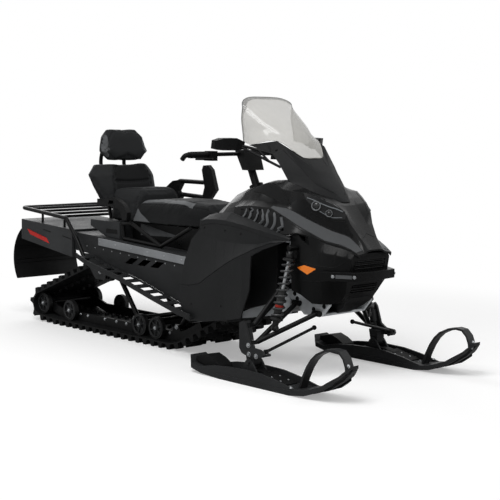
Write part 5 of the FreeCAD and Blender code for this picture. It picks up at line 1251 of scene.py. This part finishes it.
# %% Tail cover slots and steps
# Thin near-black sheets stand for the tail slots and the base's steps: painted shade for their openings.
slots = bmesh.new()
for side in (1, -1):
    for (x0, z0), (x1, z1) in (((-1.225, 0.623), (-1.140, 0.612)), ((-1.010, 0.598), (-0.915, 0.584))):
        rows = []
        for k in range(6):
            x, z = x0 + (x1 - x0) * k / 5, z0 + (z1 - z0) * k / 5
            rows.append([(Vector((x, -0.3000 * side, z + dz)), Vector((0, -side, 0))) for dz in (-0.004, 0, 0.004)])
        add_sheet(slots, rows, 0.0006)
    for low_z, high_z in ((0.640, 0.668),):
        rows = []
        for k in range(6):
            x = -0.635 + 0.115 * k / 5
            rows.append([(Vector((x, -0.2350 * side, low_z + (high_z - low_z) * s / 3)), Vector((0, -side, 0)))
                         for s in range(4)])
        add_sheet(slots, rows, 0.0006)
put("cover_slot_painted_shade", slots, "body_black")

# %% Pale panels under the driver's seat
panels = bmesh.new()
for side in (1, -1):
    rows = []
    for k in range(13):
        share = k / 12
        x = -0.395 + 0.36 * share
        low_z = 0.640 + 0.012 * share
        high_z = 0.712 - 0.055 * share
        rows.append([(Vector((x, -0.1500 * side, low_z + (high_z - low_z) * s / 4)), Vector((0, -side, 0)))
                     for s in range(5)])
    add_sheet(panels, rows, 0.0025)
put("seat_side_panels", panels, "seat_pale")

# %% Tail lamp ribs and flap ribs
lamp_ribs = bmesh.new()
for side in (1, -1):
    for i in range(12):
        x = -1.360 + 0.0165 * i
        point, normal = from_right(x, 0.580 - (x + 1.36) * 0.2 + 0.010, "tail_lamps")
        if point is not None:
            base = point + Vector((0, 0.0006, 0))
            add_box(lamp_ribs, flip(base, side), (0.0022, 0.0024, 0.022))
put("lamp_ribs", lamp_ribs, "lens_red")
flap_ribs = bmesh.new()
for z in (0.360, 0.385, 0.470):
    path = []
    for k in range(15):
        hit = tree_of("snow_flap").ray_cast(Vector((-3.0, -0.235 + 0.47 * k / 14, z)), Vector((1, 0, 0)))
        if hit[0] is not None:
            path.append(hit[0] + Vector((0.0025, 0, 0)))
    if len(path) > 5:
        add_tube(flap_ribs, path, 0.004, 8, False, 0.6)
    path = []
    for k in range(15):
        hit = tree_of("snow_flap").ray_cast(Vector((-1.56, -0.235 + 0.47 * k / 14, z)), Vector((-1, 0, 0)))
        if hit[0] is not None:
            path.append(hit[0] + Vector((0.001, 0, 0)))
    if len(path) > 5:
        add_tube(flap_ribs, path, 0.004, 8, False, 0.6)
put("flap_ribs", flap_ribs, "flap_rubber")

# %% [markdown]
# ## Skis and front links
# Bolts sit at the loops' feet and at the kingpins.

# %% Ski and spindle fasteners
for side, word in ((1, "right"), (-1, "left")):
    heads = bmesh.new()
    for place, out in (((1.307, -0.5615, 0.0385), (0.21, 0, 0.98)), ((1.249, -0.510, 0.026), (0, 0, 1)),
                       ((1.618, -0.492, 0.185), (0.92, 0, 0.39)), ((1.628, -0.470, 0.160), (0.92, 0, 0.39))):
        point, normal = press([flip(Vector(place), side)], "ski_" + word)[0]
        add_bolt(heads, point, normal, 0.0065)
    for x in (0.76, 0.82, 0.88, 1.06, 1.12, 1.18):
        for y in (-0.452, -0.508):
            point, normal = from_above(x, y * side, "ski_" + word, "ski_pad_" + word)
            if point is not None and normal.z > 0.6:
                add_dome(heads, point, normal, 0.005)
    put("ski_bolts_" + word, heads, "bolt_steel", "ski_" + word)
    heads = bmesh.new()
    for x, z in ((0.954, 0.195), (1.012, 0.146), (0.960, 0.150)):
        point, normal = from_right(x, z, "spindle_right")
        if point is not None:
            add_bolt(heads, flip(point, side), flip(normal, side), 0.009)
    put("spindle_bolts_" + word, heads, "bolt_steel", "spindle_" + word)

# %% Frame bolts
frame_bolts = bmesh.new()
for side in (1, -1):
    for x, z in ((0.955, 0.405), (1.075, 0.362), (0.985, 0.655), (0.935, 0.430), (1.150, 0.385)):
        point, normal = from_right(x, z, "front_frame")
        if point is not None and point.y < -0.1:
            add_bolt(frame_bolts, flip(point, side), flip(normal, side), 0.0085)
    for x, z in ((0.300, 0.700), (0.46, 0.76), (0.62, 0.755), (0.74, 0.745), (0.36, 0.33), (0.60, 0.345)):
        point, normal = from_right(x, z, "side_panel_right")
        if point is not None:
            add_dome(frame_bolts, flip(point, side), flip(normal, side), 0.0065)
put("frame_bolts", frame_bolts, "handle_plastic")
sleeves = bmesh.new()
for side in (1, -1):
    add_rod(sleeves, (1.035, -0.205 * side, 0.690), (1.035, -0.3195 * side, 0.690), 0.0152, 24)
put("beam_sleeves", sleeves, "frame_black")

# %% [markdown]
# ## The size
# The dressed object's box is printed beside the solids' box; it should match it, apart from a little that fabric may
# stand proud.

# %% Size
visual_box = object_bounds()
for label, box in (("cad", cad_box), ("visual", visual_box)):
    print(label, [[round(float(value), 4) for value in corner] for corner in box])
